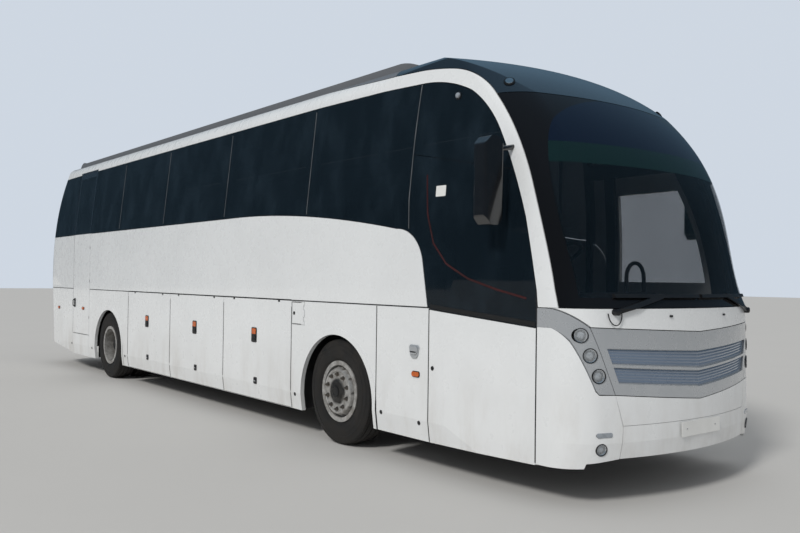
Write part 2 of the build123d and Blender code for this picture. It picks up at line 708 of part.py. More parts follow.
def bumper():
    upper = whole([(0.0, GRILLE_LOW_Z[0] - SHUT), (GRILLE_LOW_X - 2, GRILLE_LOW_Z[1] - SHUT),
                   (803.0 - HALF, 565.0 + 10), (803.0 - HALF, FLAP_TOP_Z + 1), (0.0, FLAP_TOP_Z + 1)])
    lower = whole([(0.0, FLAP_TOP_Z - 2), (802.0 - HALF, FLAP_TOP_Z - 2), (803.0 - HALF, 565.0),
                   (822.0 - HALF, BUMPER_Z + 2), (0.0, BUMPER_Z)])
    return front_take(WALL_SHELL, upper) + front_take(WALL_SHELL, lower)


def cluster_panels():
    made = []
    for side in (1, -1):
        made += front_take(WALL_SHELL, [(side * x, z) for x, z in CLUSTER])
    return made


# Fields of the grille set back between its bars, right half. Heights at the centre line and at the
# outer end, upper edge first
GRILLE_FIELDS = (((1089.0, 1129.0), (956.0, 1014.0)), ((939.0, 996.0), (817.0, 878.0)))
GRILLE_BORDER = 58.0     # width of the frame down the slanted ends
FIELD_DEPTH = 18.0


def grille_end_x(z):
    """Inner edge of the grille's slanted end at a height."""
    share = (z - GRILLE_LOW_Z[1]) / (GRILLE_TOP_Z[1] - GRILLE_LOW_Z[1])
    return GRILLE_LOW_X + share * (GRILLE_TOP_X - GRILLE_LOW_X) - GRILLE_BORDER


def grille():
    """Silver frame with a kinked bar between two fields that are set back."""
    plate = front_take(WALL_SHELL, whole(GRILLE_HALF))[0]
    set_back = OUTER.moved(Location((0, FIELD_DEPTH, 0)))
    for (top_mid, top_end), (low_mid, low_end) in GRILLE_FIELDS:
        field = whole([(0.0, top_mid), (grille_end_x(top_end), top_end), (grille_end_x(low_end), low_end),
                       (0.0, low_mid)])
        plate = plate.cut(largest(front_prism(field, *FRONT_Y).cut(set_back)))
    return plate


# Lamps in the front, right side. Columns: x, y, z, half width (0: round), radius or half height
HEAD_LAMPS = ((-1100.0, -6035.0, 1219.0, 0.0, 49.0), (-1050.0, -6095.0, 1078.0, 0.0, 49.0),
              (-995.0, -6125.0, 934.0, 0.0, 49.0))
LOW_LAMPS = ((-954.0, -6150.0, 520.0, 62.0, 15.0), (-975.0, -6150.0, 418.0, 0.0, 41.0))
HEAD_YAW = math.radians(30)


def lamp_tool(row, side, grow, yaw):
    """Round or long bar through the skin where a lamp sits, square to the skin in plan."""
    x, y, z, half, size = row
    x *= -side
    out = Vector(side * math.sin(yaw), -math.cos(yaw), 0)
    if half == 0.0:
        a, b = Vector(x, y, z) - out * 200, Vector(x, y, z) + out * 200
        return rod(tuple(a), tuple(b), size + grow)
    r = size + grow
    outline = [(x - half + size, z - r), (x + half - size, z - r),
               ("arc", (x + half + grow, z), (x + half - size, z + r)), (x - half + size, z + r),
               ("arc", (x - half - grow, z), (x - half + size, z - r))]
    return front_prism(outline, y - 200, y + 200)


def lamp_tools(rows, grow, yaw):
    return [lamp_tool(row, side, grow, yaw) for side in (-1, 1) for row in rows]


def drilled(panels, tools):
    return [largest(cut_all(panel, tools)) for panel in panels]


def lenses(rows, yaw):
    made = []
    for tool in lamp_tools(rows, 0.0, yaw):
        made.append(largest(take(LENS_SHELL, tool)[0]))
    return made


keep("front_mouldings", apron() + drilled(corners(), lamp_tools(LOW_LAMPS, SEAT_GAP, 0.0)) + bumper())
keep("headlamp_panels", drilled(cluster_panels(), lamp_tools(HEAD_LAMPS, SEAT_GAP, HEAD_YAW)))
keep("front_lamps", lenses(HEAD_LAMPS, HEAD_YAW) + lenses(LOW_LAMPS, 0.0))
keep("grille", grille())

# Tail: upper moulding with window, engine door, bumper, lamp clusters
TAIL_Y_RANGE = (5400.0, TAIL_Y + 50.0)
ENGINE_DOOR_X = 860.0
ENGINE_DOOR_Z = (700.0, 1640.0)
TAIL_BUMPER_Z = (RAMP_END_Z, 690.0)
REAR_WINDOW = [(980.0, 2310.0), (930.0, 3010.0)]
TAIL_LAMP_X = (900.0, 1110.0)
TAIL_LAMP_Z = (760.0, 1620.0)


def tail_take(shell, points, *less):
    return take(shell, front_prism(points, *TAIL_Y_RANGE), region(tail_edge(SHUT / 2) + [
        (NOSE_Y - 50, ROOF_Z + 60), (NOSE_Y - 50, 0.0)]), *less)


def around(points, grow):
    """Tail outline for a hole: a four-cornered shape given by its right half."""
    (x0, z0), (x1, z1) = points
    return [(-x0 - grow, z0 - grow), (x0 + grow, z0 - grow), (x1 + grow, z1 + grow), (-x1 - grow, z1 + grow)]


def lamp_hole(side, grow):
    (x0, x1), (z0, z1) = TAIL_LAMP_X, TAIL_LAMP_Z
    points = [(side * (x0 - grow), z0 - grow), (side * (x1 + grow), z0 - grow),
              (side * (x1 - 40 + grow), z1 + grow), (side * (x0 - grow), z1 + grow)]
    return front_prism(points, *TAIL_Y_RANGE)


def engine_door_points(grow):
    (z0, z1) = ENGINE_DOOR_Z
    x = ENGINE_DOOR_X + grow
    return [(-x, z0 - grow), (x, z0 - grow), (x, z1 + grow), (-x, z1 + grow)]


def full_width(z0, z1):
    return [(-WIDE, z0), (WIDE, z0), (WIDE, z1), (-WIDE, z1)]


TAIL_SKIN = tail_take(WALL_SHELL, full_width(TAIL_BUMPER_Z[1] + HALF, 4000.0))
DOOR_HOLE = engine_door_points(SHUT)
DOOR_HOLE = [(x, z + (8.0 if z > ENGINE_DOOR_Z[1] else 0.0)) for x, z in DOOR_HOLE]
ENGINE_AXIS = (TAIL_Y - 14.0 - PIN_INSET, ENGINE_DOOR_Z[1] - PIN_INSET)   # (y, z)
ENGINE_HINGE_X = (-560.0, 560.0)


def tail_moulding(lugs):
    holes = [front_prism(around(REAR_WINDOW, SEAT_GAP), *TAIL_Y_RANGE), front_prism(DOOR_HOLE, *TAIL_Y_RANGE),
             lamp_hole(1, SEAT_GAP), lamp_hole(-1, SEAT_GAP)]
    shell = max(TAIL_SKIN, key=lambda s: s.volume)
    for hole in holes:
        shell = largest(shell.cut(hole))
    return fused([shell] + lugs)


def tail_lamps():
    made = []
    for side in (1, -1):
        for skin in TAIL_SKIN:
            made += solids_of(skin.intersect(lamp_hole(side, 0)))
    return made


def engine_door():
    door = largest(take(WALL_SHELL, front_prism(engine_door_points(0), *TAIL_Y_RANGE))[0])
    lugs = []
    for x in ENGINE_HINGE_X:
        lug, cuts = hinge((x, *ENGINE_AXIS), (1, 0, 0), (0, 1, 0), (0, 0, 1), 34.0, 34.0)
        lugs.append(lug)
        door = cut_all(door, cuts)
    return door, lugs


ENGINE_DOOR, ENGINE_LUGS = engine_door()
keep("engine_door", ENGINE_DOOR)
keep("tail_moulding", tail_moulding(ENGINE_LUGS))
keep("tail_bumper", tail_take(WALL_SHELL, full_width(TAIL_BUMPER_Z[0], TAIL_BUMPER_Z[1] - HALF)))
keep("rear_window", take(GLASS_SHELL, front_prism(around(REAR_WINDOW, 0), *TAIL_Y_RANGE)))
keep("tail_lamps", tail_lamps())


# Body frame: rails, posts and hoops behind the panels, cut from the inner shells
SEAM_RAIL_Z = (SEAM_Z - 22.0, SEAM_Z + 74.0)
FRAME_Y = (CAB_REAR_Y + 4, 6180.0)
POST_HALF = 28.0
LOCKER_HINGE_IN = 260.0  # hinges from each end of a locker door
LOCKER_AXIS_Z = SKIRT_TOP - PIN_INSET
AXIS_X = HALF_W - PIN_INSET
EXIT_AXIS_Y = EXIT_Y[0] + SHUT + PIN_INSET
EXIT_HINGE_Z = (900.0, 1500.0, 2050.0)
HOOP_Z = 3290.0
REAR_HOOP_Y = 5600.0
BAND_EDGE = 45.0         # how far the frame runs past the white band
FRONT_RAILS_Z = ((540.0, 830.0), (1180.0, 1470.0))
CORNER_POST_Y = (-5800.0, -5690.0)
TAIL_RAIL_Z = (560.0, 685.0)
TAIL_RAIL_Y = 5900.0
LOW_RAIL_END_Y = LOCKER_Y[3] + 76.0  # the seam rail's lower part ends behind the last hold door

# Rails seated on the fixed skirts. Columns: side, front, rear, lower and upper height
SKIRT_RAILS = (
    (-1, CORNER_Y - 60.0, CAB_REAR_Y + 60.0, 1180.0, 1240.0),
    (-1, CORNER_Y - 60.0, CAB_REAR_Y + 60.0, 560.0, 640.0),
    (-1, CAB_REAR_Y - 60.0, -2672.0, 1290.0, SKIRT_TOP - 2.0),
    (1, CAB_REAR_Y + 4.0, -2425.0, 1290.0, SKIRT_TOP - 2.0),
    (-1, 2275.0, EXIT_Y[0] - HALF - SEAT_GAP, 1290.0, SEAM_RAIL_Z[1]),
    (-1, EXIT_Y[1] + HALF + SEAT_GAP, FRAME_Y[1], 1290.0, SEAM_RAIL_Z[1]),
    (1, 2275.0, FRAME_Y[1], 1290.0, SEAM_RAIL_Z[1]),
    (-1, EXIT_Y[0] - 2 * POST_HALF, EXIT_Y[1] + 2 * POST_HALF, 530.0, EXIT_Z - 9.0))


def cut_from(shell, *prisms):
    """The stretches of a shell inside each of the prisms."""
    return [s for prism in prisms for s in solids_of(shell.intersect(prism))]


def seam_rails(side):
    """Prisms of the rail along the seam: its lower part is clear of the doors, its upper part is seated."""
    low = region(rect(FRAME_Y[0], LOW_RAIL_END_Y, *SEAM_RAIL_Z), side)
    high = region(rect(*FRAME_Y, SEAM_Z + 8.0, SEAM_RAIL_Z[1]), side)
    if side < 0:
        exit_gap = region(rect(EXIT_Y[0] - HALF, EXIT_Y[1] + HALF, EXIT_Z - 9.0, GLASS_TOP_Z + 40), side)
        return [low], solids_of(high.cut(exit_gap))
    return [low], [high]


def posts(side):
    """Prisms of the posts: behind the panels, and behind the panes above the waist panel."""
    over = [(TAIL_Y + 50.0, 4000.0), (NOSE_Y, 4000.0), (NOSE_Y, SEAM_Z)]
    above_waist = region(waist_top(HALF + SEAT_GAP) + over, side)
    band = band_region(side, SEAT_GAP)
    deep, thin = [], []
    for y in WINDOW_Y + (REAR_HOOP_Y,):
        y0, y1, low = y - POST_HALF, y + POST_HALF, SEAM_Z + 20
        if y in EXIT_Y and side > 0:
            continue
        if y == EXIT_Y[0]:
            y0, y1, low = y - 2 * POST_HALF, y - HALF - SEAT_GAP, 530.0
        if y == EXIT_Y[1]:
            y0, y1, low = y + HALF + SEAT_GAP, y + 2 * POST_HALF, 530.0
        strip = region(rect(y0, y1, low, HOOP_Z + 80), side)
        deep.append(strip)
        for upper in solids_of(strip.intersect(above_waist)):
            thin += solids_of(upper.cut(band))
    return deep, thin


def hoops():
    stations = [y for y in WINDOW_Y if y not in EXIT_Y]
    stations += [EXIT_Y[0] - 1.5 * POST_HALF, EXIT_Y[1] + 1.5 * POST_HALF, REAR_HOOP_Y]
    return [region(rect(y - POST_HALF, y + POST_HALF, HOOP_Z, 3700.0)) for y in stations]


def front_band(x0, x1, z0, z1, y1=CORNER_Y - 10.0):
    return front_prism([(x0, z0), (x1, z0), (x1, z1), (x0, z1)], NOSE_Y, y1)


def front_frame():
    """Prisms of the front's rails, uprights, pillars and the surround of the screen."""
    deep = [front_band(-WIDE, WIDE, z0, z1) for z0, z1 in FRONT_RAILS_Z]
    deep.append(front_band(-1000.0, 1000.0, 3010.0, 3120.0, -4800.0))
    thin = [front_band(-1000.0, 1000.0, 3010.0, BROW_Z - 6.0, -4800.0),
            front_band(-1110.0, 1110.0, SCREEN_BASE_Z + 6.0, 1470.0)]
    for side in (-1, 1):
        deep.append(front_band(side * 690.0, side * 770.0, 560.0, 1400.0))
        deep.append(region(rect(*CORNER_POST_Y, 300.0, 1420.0), side))
        deep.append(region(pillar_outer(BAND_EDGE) + backwards(pillar_inner(-HALF)), side))
        edge = region(pillar_outer(BAND_EDGE + 10.0) + backwards(pillar_outer(HALF + 1.0)), side)
        edge = largest(edge.cut(region(rect(NOSE_Y, 0.0, 0.0, SCREEN_BASE_Z + 6.0))))
        thin.append(largest(edge.cut(region(rect(NOSE_Y, 0.0, BROW_Z - 4.0, 4000.0)))))
    return deep, thin


def entry_frame():
    jamb = region(rect(CAB_REAR_Y - 60.0, CAB_REAR_Y + 50.0, 300.0, 2790.0), 1)
    head = region(rect(-5400.0, WINDOW_Y[0] + POST_HALF, 2640.0, 2790.0), 1)
    ahead = region(pillar_inner(-HALF) + [(-2700.0, 3600.0), (NOSE_Y, 3600.0), (NOSE_Y, 1200.0)], 1)
    return [jamb, largest(head.cut(ahead))]


def tail_rail():
    """Rail across the tail, behind the bumper, that runs forward onto the rear skirts."""
    return region(rect(TAIL_RAIL_Y, TAIL_Y, *TAIL_RAIL_Z))


def body_frame(lugs):
    front_deep, front_thin = front_frame()
    deep = hoops() + front_deep + entry_frame() + [tail_rail()]
    thin = front_thin
    clear = []
    for side in (-1, 1):
        low, high = seam_rails(side)
        side_deep, side_thin = posts(side)
        clear += low
        deep += high + side_deep
        thin += side_thin
    deep += [region(rect(y0, y1, z0, z1), side) for side, y0, y1, z0, z1 in SKIRT_RAILS]
    parts = []
    for shell, prisms in ((PANEL_FRAME, deep), (PANE_FRAME, thin), (DOOR_FRAME, clear)):
        parts += cut_from(shell, *solids_of(fused(prisms)))
    return fused(parts + lugs)


# Doors in the sides, with the lugs of their hinges
FRAME_LUGS = []


def locker_door(index, side):
    y0, y1 = LOCKER_Y[index] + HALF, LOCKER_Y[index + 1] - HALF
    door = largest(take(WALL_SHELL, region(rect(y0, y1, SKIRT_Z, SKIRT_TOP), side))[0])
    for y in (y0 + LOCKER_HINGE_IN, y1 - LOCKER_HINGE_IN):
        lug, cuts = hinge((side * AXIS_X, y, LOCKER_AXIS_Z), (0, 1, 0), (side, 0, 0), (0, 0, 1), 60.0, 14.0)
        FRAME_LUGS.append(lug)
        door = cut_all(door, cuts)
    return door


for number in range(len(LOCKER_Y) - 1):
    keep("locker_door_right_%d" % (number + 1), locker_door(number, -1))
    keep("locker_door_left_%d" % (number + 1), locker_door(number, 1))

EXIT_GLASS_Z = (WAIST_Z + 4.0, 3250.0)
EXIT_FRAME = 45.0


def emergency_door():
    skin = region(rect(EXIT_Y[0] + SHUT, EXIT_Y[1] - HALF, EXIT_Z + HALF, GLASS_TOP_Z + 30 - HALF), -1)
    hole = region(rect(EXIT_Y[0] + EXIT_FRAME, EXIT_Y[1] - EXIT_FRAME, *EXIT_GLASS_Z), -1)
    door = largest(take(WALL_SHELL, skin, hole)[0])
    for z in EXIT_HINGE_Z:
        lug, cuts = hinge((-AXIS_X, EXIT_AXIS_Y, z), (0, 0, 1), (-1, 0, 0), (0, -1, 0), 62.0, 40.0)
        FRAME_LUGS.append(lug)
        door = cut_all(door, cuts)
    return door


keep("emergency_door", emergency_door())
keep("emergency_door_glass", take(GLASS_SHELL, region(rect(
    EXIT_Y[0] + EXIT_FRAME + SEAT_GAP, EXIT_Y[1] - EXIT_FRAME - SEAT_GAP,
    EXIT_GLASS_Z[0] + SEAT_GAP, EXIT_GLASS_Z[1] - SEAT_GAP), -1)))

FLAP_AXIS_Y = FLAP_Y[0] + SHUT + PIN_INSET
FLAP_HINGE_Z = (1180.0, 1295.0)


def fuel_flap():
    flap = largest(take(WALL_SHELL, region(rect(FLAP_Y[0] + SHUT, FLAP_Y[1] - HALF, *FLAP_Z), -1))[0])
    lugs = []
    for z in FLAP_HINGE_Z:
        lug, cuts = hinge((-AXIS_X, FLAP_AXIS_Y, z), (0, 0, 1), (-1, 0, 0), (0, -1, 0), 30.0, 28.0)
        lugs.append(lug)
        flap = cut_all(flap, cuts)
    return flap, lugs


FLAP, FLAP_LUGS = fuel_flap()
keep("fuel_flap", FLAP)
SKIRT_LIST = skirts()
RIGHT_SKIRTS = [s for s in SKIRT_LIST if s.center().X < 0]
FLAP_PANEL = min(RIGHT_SKIRTS, key=lambda s: abs(s.center().Y - FRONT_AXLE_Y))
SKIRT_LIST = [fused([s] + FLAP_LUGS) if s is FLAP_PANEL else s for s in SKIRT_LIST]
keep("skirt_panels", SKIRT_LIST)
SIDE_FRAME_X = 1060.0    # the cross members end here, on the side frames
SKIRT_FRAME_Z = 1285.0   # the side frames stand on the skirt frames here
SCREEN_FRAME_Z = 1480.0  # the screen's frame stands on the front frame here
HEADER_Z = 2990.0        # lower edge of the header over the screen
# Joints of the bows over the roof, by width and by station
BOW_X = (-SIDE_FRAME_X, -900.0, -520.0, 520.0, 900.0, SIDE_FRAME_X)
BOW_Y = (-5000.0, -4400.0, -3700.0, -2000.0, TAIL_Y)


def frame_part(frame, x, y, z):
    return solids_of(frame.intersect(block(*x, *y, *z)))


def sliced(solids, axis, stops):
    """The solids cut across at each stop they reach."""
    made = []
    for solid in solids:
        box = solid.bounding_box()
        low, high = (box.min.X, box.max.X) if axis == "x" else (box.min.Y, box.max.Y)
        for start, end in zip(stops, stops[1:]):
            if low >= start and high <= end:
                made.append(solid)
            elif low < end and high > start:
                x, y = ((start, end), (NOSE_Y, TAIL_Y)) if axis == "x" else ((-WIDE, WIDE), (start, end))
                made += frame_part(solid, x, y, (0.0, ROOF_Z))
    return made


def split_frame(frame):
    """The welded frame as its side frames, skirt frames and cross members."""
    length = (NOSE_Y, TAIL_Y)
    across = (-SIDE_FRAME_X, SIDE_FRAME_X)
    ends = ((-HALF_W, -SIDE_FRAME_X), (SIDE_FRAME_X, HALF_W))
    keep("side_frames", [s for x in ends for s in frame_part(frame, x, length, (SKIRT_FRAME_Z, ROOF_Z))])
    keep("skirt_frames", [s for x in ends for s in frame_part(frame, x, length, (0.0, SKIRT_FRAME_Z))])
    keep("front_frame", frame_part(frame, across, (NOSE_Y, 0.0), (0.0, SCREEN_FRAME_Z)))
    keep("screen_frame", frame_part(frame, across, length, (SCREEN_FRAME_Z, HEADER_Z)))
    keep("tail_frame", frame_part(frame, across, (0.0, TAIL_Y), (0.0, SCREEN_FRAME_Z)))
    brow = frame_part(frame, across, (NOSE_Y, BOW_Y[0]), (HEADER_Z, ROOF_Z))
    bows = frame_part(frame, across, (BOW_Y[0], TAIL_Y), (HEADER_Z, ROOF_Z))
    keep("roof_bows", brow + sliced(sliced(bows, "y", BOW_Y), "x", BOW_X))


split_frame(body_frame(FRAME_LUGS))

# Floors, steps and bulkheads
FLOOR_Z = (1385.0, 1420.0)
FLOOR_END_Y = 6130.0
INSIDE = body_form(FRAME_IN + SEAT_GAP, 200.0)
CAB_FLOOR_Z = (960.0, 1000.0)
CAB_STEP_Y = -4290.0     # riser between the cab platform and the saloon floor
CAB_FRONT_Y = -5900.0
CAB_X = 1200.0
STEP_X = 330.0           # inner side of the stairwell on the left
SHEET = 12.0
TREAD_T = 30.0
# Steps of the stairwell. Columns: front station, height
STEPS = ((-5690.0, 400.0), (-5250.0, 600.0), (-4950.0, 800.0))
HOLD_Y = (LOCKER_Y[0] + 22.0, LOCKER_Y[3] - 22.0)
HOLD_Z = (300.0, 335.0)
HOLD_X = 1172.0
ARCH_BOX_X = 530.0
ARCH_BOX_HALF = 690.0
ARCH_BOX_Z = (620.0, 1112.0)     # lower edge of the inner wall and top
ARCH_END_Z = 440.0               # lower edge of the end walls


def saloon_floor():
    main = block(-HALF_W, HALF_W, CAB_STEP_Y, FLOOR_END_Y, *FLOOR_Z)
    riser = block(-CAB_X, CAB_X, CAB_STEP_Y, CAB_STEP_Y + 30, CAB_FLOOR_Z[0], FLOOR_Z[1])
    cab = block(-CAB_X, STEP_X, CAB_FRONT_Y, CAB_STEP_Y + 10, *CAB_FLOOR_Z)
    return fused([main, riser, cab]).intersect(INSIDE)


def entrance_steps():
    """Walls of the stairwell, treads, and risers that stand on the tread before them."""
    first_y, first_z = STEPS[0]
    last_y = CAB_STEP_Y - SEAT_GAP
    low = first_z - TREAD_T
    parts = [block(STEP_X - TREAD_T, STEP_X, first_y, last_y, low, CAB_FLOOR_Z[0] - SEAT_GAP),
             block(STEP_X, CAB_X, first_y - TREAD_T, first_y, low, CAB_FLOOR_Z[1])]
    ends = [y for y, z in STEPS[1:]] + [last_y - TREAD_T]
    tops = [z for y, z in STEPS[1:]] + [CAB_FLOOR_Z[1] + TREAD_T]
    for (y, z), end, top in zip(STEPS, ends, tops):
        parts.append(block(STEP_X, CAB_X, y, end + TREAD_T, z - TREAD_T, z))
        parts.append(block(STEP_X, CAB_X, end, end + TREAD_T, z, top - TREAD_T))
    return [largest(part.intersect(INSIDE)) for part in parts]


def hold():
    """Floor of the luggage hold with its end walls and the stubs between its doors."""
    top = SEAM_RAIL_Z[0] - SEAT_GAP
    parts = [block(-HOLD_X, HOLD_X, HOLD_Y[0], HOLD_Y[1], *HOLD_Z)]
    for y0 in (HOLD_Y[0], HOLD_Y[1] - 30):
        parts.append(block(-HOLD_X, HOLD_X, y0, y0 + 30, HOLD_Z[0], top))
    for y in LOCKER_Y[1:3]:
        for side in (-1, 1):
            parts.append(block(side * (HOLD_X - 60), side * HOLD_X, y - 30, y + 30, HOLD_Z[0], top))
    return fused(parts)


def wheelhouse(side, axle_y):
    """Sheet box over a wheel: inner wall, end walls, top, and stays up to the floor."""
    outer_x = HALF_W - WALL - SEAT_GAP
    y0, y1 = axle_y - ARCH_BOX_HALF, axle_y + ARCH_BOX_HALF
    low, top = ARCH_BOX_Z
    x0, x1 = side * ARCH_BOX_X, side * outer_x
    parts = [block(x0, x0 + side * SHEET, y0, y1, low, top), block(x0, x1, y0, y1, top - SHEET, top)]
    for y in (y0, y1 - SHEET):
        parts.append(block(side * (ARCH_BOX_X + 60), x1, y, y + SHEET, ARCH_END_Z, top))
        parts.append(block(x0, x1, y, y + SHEET, low, top))
        stay_x = side * (HALF_W - FRAME_IN - 12.0)
        parts.append(block(x0, stay_x, y, y + SHEET, top - SHEET, FLOOR_Z[0] - SEAT_GAP))
    return fused(parts)


keep("saloon_floor", saloon_floor())
keep("entrance_steps", entrance_steps())
keep("hold_floor", hold())
keep("wheelhouses", [wheelhouse(side, y) for side in (-1, 1) for y in (FRONT_AXLE_Y, REAR_AXLE_Y)])

# Chassis frames ahead of and behind the hold
RAIL_X = (400.0, 460.0)
CHASSIS_Z = (640.0, 780.0)
FRONT_FRAME_Y = (-5850.0, HOLD_Y[0] - SEAT_GAP)
REAR_FRAME_Y = (HOLD_Y[1] + SEAT_GAP, 6100.0)
LEFT_RAIL_Y = -4240.0    # where the left rail starts, behind the stairwell
# Cross members. Columns: station, left end, right end, top of the stays over the rails
CROSS = ((-5850.0, -900.0, 260.0, CAB_FLOOR_Z[0]), (-5000.0, -1000.0, 260.0, CAB_FLOOR_Z[0]),
         (-4200.0, -1000.0, 1000.0, FLOOR_Z[0]), (-2490.0, -460.0, 460.0, FLOOR_Z[0]),
         (2330.0, -460.0, 460.0, FLOOR_Z[0]), (3880.0, -1000.0, 1000.0, FLOOR_Z[0]),
         (4380.0, -1000.0, 1000.0, FLOOR_Z[0]), (6020.0, -900.0, 900.0, FLOOR_Z[0]))
CROSS_W = 60.0
CROSS_Z = (660.0, 760.0)


def chassis_rails():
    made = []
    for y0, y1 in (FRONT_FRAME_Y, REAR_FRAME_Y):
        made.append(block(-RAIL_X[1], -RAIL_X[0], y0, y1, *CHASSIS_Z))
        made.append(block(*RAIL_X, max(y0, LEFT_RAIL_Y), y1, *CHASSIS_Z))
    return made


def cross_members():
    """Bars between and outside the rails, and the stays that carry the floors."""
    made = []
    for y, x0, x1, top in CROSS:
        stays = [RAIL_X, (-RAIL_X[1], -RAIL_X[0])]
        on_rail = CHASSIS_Z[1]
        if x1 < RAIL_X[0]:
            stays = [(-RAIL_X[1], -RAIL_X[0])]
            made.append(block(x1 - CROSS_W, x1, y, y + CROSS_W, CROSS_Z[1], top - SEAT_GAP))
        for left, right in stays:
            made.append(block(left, right, y, y + CROSS_W, on_rail, top - SEAT_GAP))
        for left, right in ((x0, -RAIL_X[1]), (-RAIL_X[0], min(x1, RAIL_X[0])), (RAIL_X[1], x1)):
            if right > left:
                made.append(block(left, right, y, y + CROSS_W, *CROSS_Z))
    return made


keep("chassis_rails", chassis_rails())
keep("cross_members", cross_members())

# Front axle: drop beam with a kingpin eye at each end, air springs above it
EYE_R = 55.0
EYE_Z = (HUB_Z - 55.0, HUB_Z + 55.0)
KING_R = 25.0
FIT = 0.05               # radial running clearance of pins and hubs
SPRING_R = 95.0
SPRING_X = 425.0
BEAM_Z = (HUB_Z - 110.0, HUB_Z - 20.0)


def front_axle():
    y = FRONT_AXLE_Y
    parts = [block(-640, 640, y - 50, y + 50, *BEAM_Z)]
    for side in (-1, 1):
        arm = front_prism([(side * 560, BEAM_Z[0]), (side * 660, BEAM_Z[0]), (side * 840, EYE_Z[0]),
                           (side * 840, EYE_Z[1]), (side * 790, EYE_Z[1]), (side * 600, BEAM_Z[1])],
                          y - 45, y + 45)
        parts.append(arm)
        parts.append(rod((side * KINGPIN_X, y, EYE_Z[0]), (side * KINGPIN_X, y, EYE_Z[1]), EYE_R))
        x = side * SPRING_X
        parts.append(rod((x, y, BEAM_Z[1] - 5), (x, y, CHASSIS_Z[0] - SEAT_GAP), SPRING_R))
    beam = fused(parts)
    for side in (-1, 1):
        beam = largest(beam.cut(rod((side * KINGPIN_X, y, 200), (side * KINGPIN_X, y, 900), KING_R + FIT)))
    return beam


keep("front_axle", front_axle())

# Rear axle: casing with its differential, air springs on outriggers
SPINDLE_R = 60.0
CASING_R = 78.0
CASING_X = 640.0
SPINDLE_X = 1120.0
DIFF_R = 190.0


def rear_axle():
    y = REAR_AXLE_Y
    half = [(0.0, 0.0), (DIFF_R, 0.0), ("arc", (DIFF_R * 0.87, 95.0), (CASING_R, 175.0)),
            (CASING_R, CASING_X),
            (SPINDLE_R, CASING_X), (SPINDLE_R, SPINDLE_X), (0.0, SPINDLE_X)]
    parts = [turned(half, y, -1), turned(half, y, 1)]
    for side in (-1, 1):
        parts.append(block(side * 390, side * 470, y - 430, y + 430, HUB_Z - 50, HUB_Z + 20))
        for s in (-1, 1):
            parts.append(rod((side * SPRING_X, y + s * 330, HUB_Z + 15),
                             (side * SPRING_X, y + s * 330, CHASSIS_Z[0] - SEAT_GAP), SPRING_R))
    return fused(parts)


def turned(profile, y, side):
    """Solid turned about the axle at station y; the profile's points are (radius, x)."""
    def swing(p):
        return Vector(side * p[1], y, HUB_Z + p[0])
    face = outline_face(profile, swing)
    return Solid.revolve(face, 360, Axis((0, y, HUB_Z), (1, 0, 0)))


keep("rear_axle", rear_axle())

# Engine and gearbox as one plain block between the rear rails
keep("engine", [block(-RAIL_X[0] + SEAT_GAP, RAIL_X[0] - SEAT_GAP, 4500.0, 5900.0, 470.0, 1240.0)])

# Knuckles
STUB_R = 45.0
STUB_X = 1150.0
YOKE_Z = (EYE_Z[0] - 45.0, EYE_Z[1] + 45.0)
YOKE_GAP = 6.0
YOKE_X = 985.0
DRUM_X = (985.0, 1020.0)
DRUM_R = 190.0


def knuckle(side):
    y = FRONT_AXLE_Y
    k = side * KINGPIN_X
    parts = [rod((k, y, YOKE_Z[0]), (k, y, YOKE_Z[1]), KING_R)]
    for z0, z1 in ((YOKE_Z[0], EYE_Z[0] - YOKE_GAP), (EYE_Z[1] + YOKE_GAP, YOKE_Z[1])):
        parts.append(rod((k, y, z0), (k, y, z1), EYE_R))
        parts.append(block(k, side * YOKE_X, y - 45, y + 45, z0, z1))
    parts.append(block(side * (KINGPIN_X + EYE_R + 8), side * YOKE_X, y - 45, y + 45, *YOKE_Z))
    parts.append(rod((side * 960, y, HUB_Z), (side * STUB_X, y, HUB_Z), STUB_R))
    parts.append(rod((side * DRUM_X[0], y, HUB_Z), (side * DRUM_X[1], y, HUB_Z), DRUM_R))
    return fused(parts)


keep("knuckle_right", knuckle(-1))
keep("knuckle_left", knuckle(1))


# Wheels
BEAD_R = RIM_R - 12.0


def tyre_profile(x_out):
    x_in = x_out - TYRE_W
    mid = (x_in + x_out) / 2
    bead = BEAD_R + SEAT_GAP
    lip = RIM_R - 4 + SEAT_GAP
    return [(bead, x_in + 26.5), (lip, x_in + 24.5), (RIM_R + 70, x_in), (TYRE_R - 60, x_in + 4),
            (TYRE_R - 14, x_in + 22), ("arc", (TYRE_R, mid), (TYRE_R - 14, x_out - 22)),
            (TYRE_R - 60, x_out - 4),
            (RIM_R + 70, x_out), (lip, x_out - 24.5), (bead, x_out - 26.5)]

def barrel(x_out):
    """Rim barrel with its two flanges, round the tyre's beads."""
    x_in = x_out - TYRE_W
    bead = BEAD_R
    inner = RIM_R - 46
    return [(inner, x_in + 12), (inner, x_out - 12), (RIM_R - 4, x_out - 12), (RIM_R - 4, x_out - 24),
            (bead, x_out - 26), (bead - 22, x_out - 80), (bead - 22, x_in + 80), (bead, x_in + 26),
            (RIM_R - 4, x_in + 24), (RIM_R - 4, x_in + 12)]


HAND_HOLES = 10
# Hand holes of a disc. Columns: radius of their circle, radius of a hole
FRONT_HOLES = (234.0, 17.0)
REAR_HOLES = (212.0, 26.0)


def hand_holes(y, side, holes, x0, x1):
    made = []
    circle, radius = holes
    for turn in range(HAND_HOLES):
        angle = 2 * math.pi * turn / HAND_HOLES
        dy, dz = circle * math.cos(angle), circle * math.sin(angle)
        made.append(rod((side * x0, y + dy, HUB_Z + dz), (side * x1, y + dy, HUB_Z + dz), radius))
    return made


FRONT_DISC_X = FRONT_FACE_X + 12.0
REAR_DISC_X = 940.0


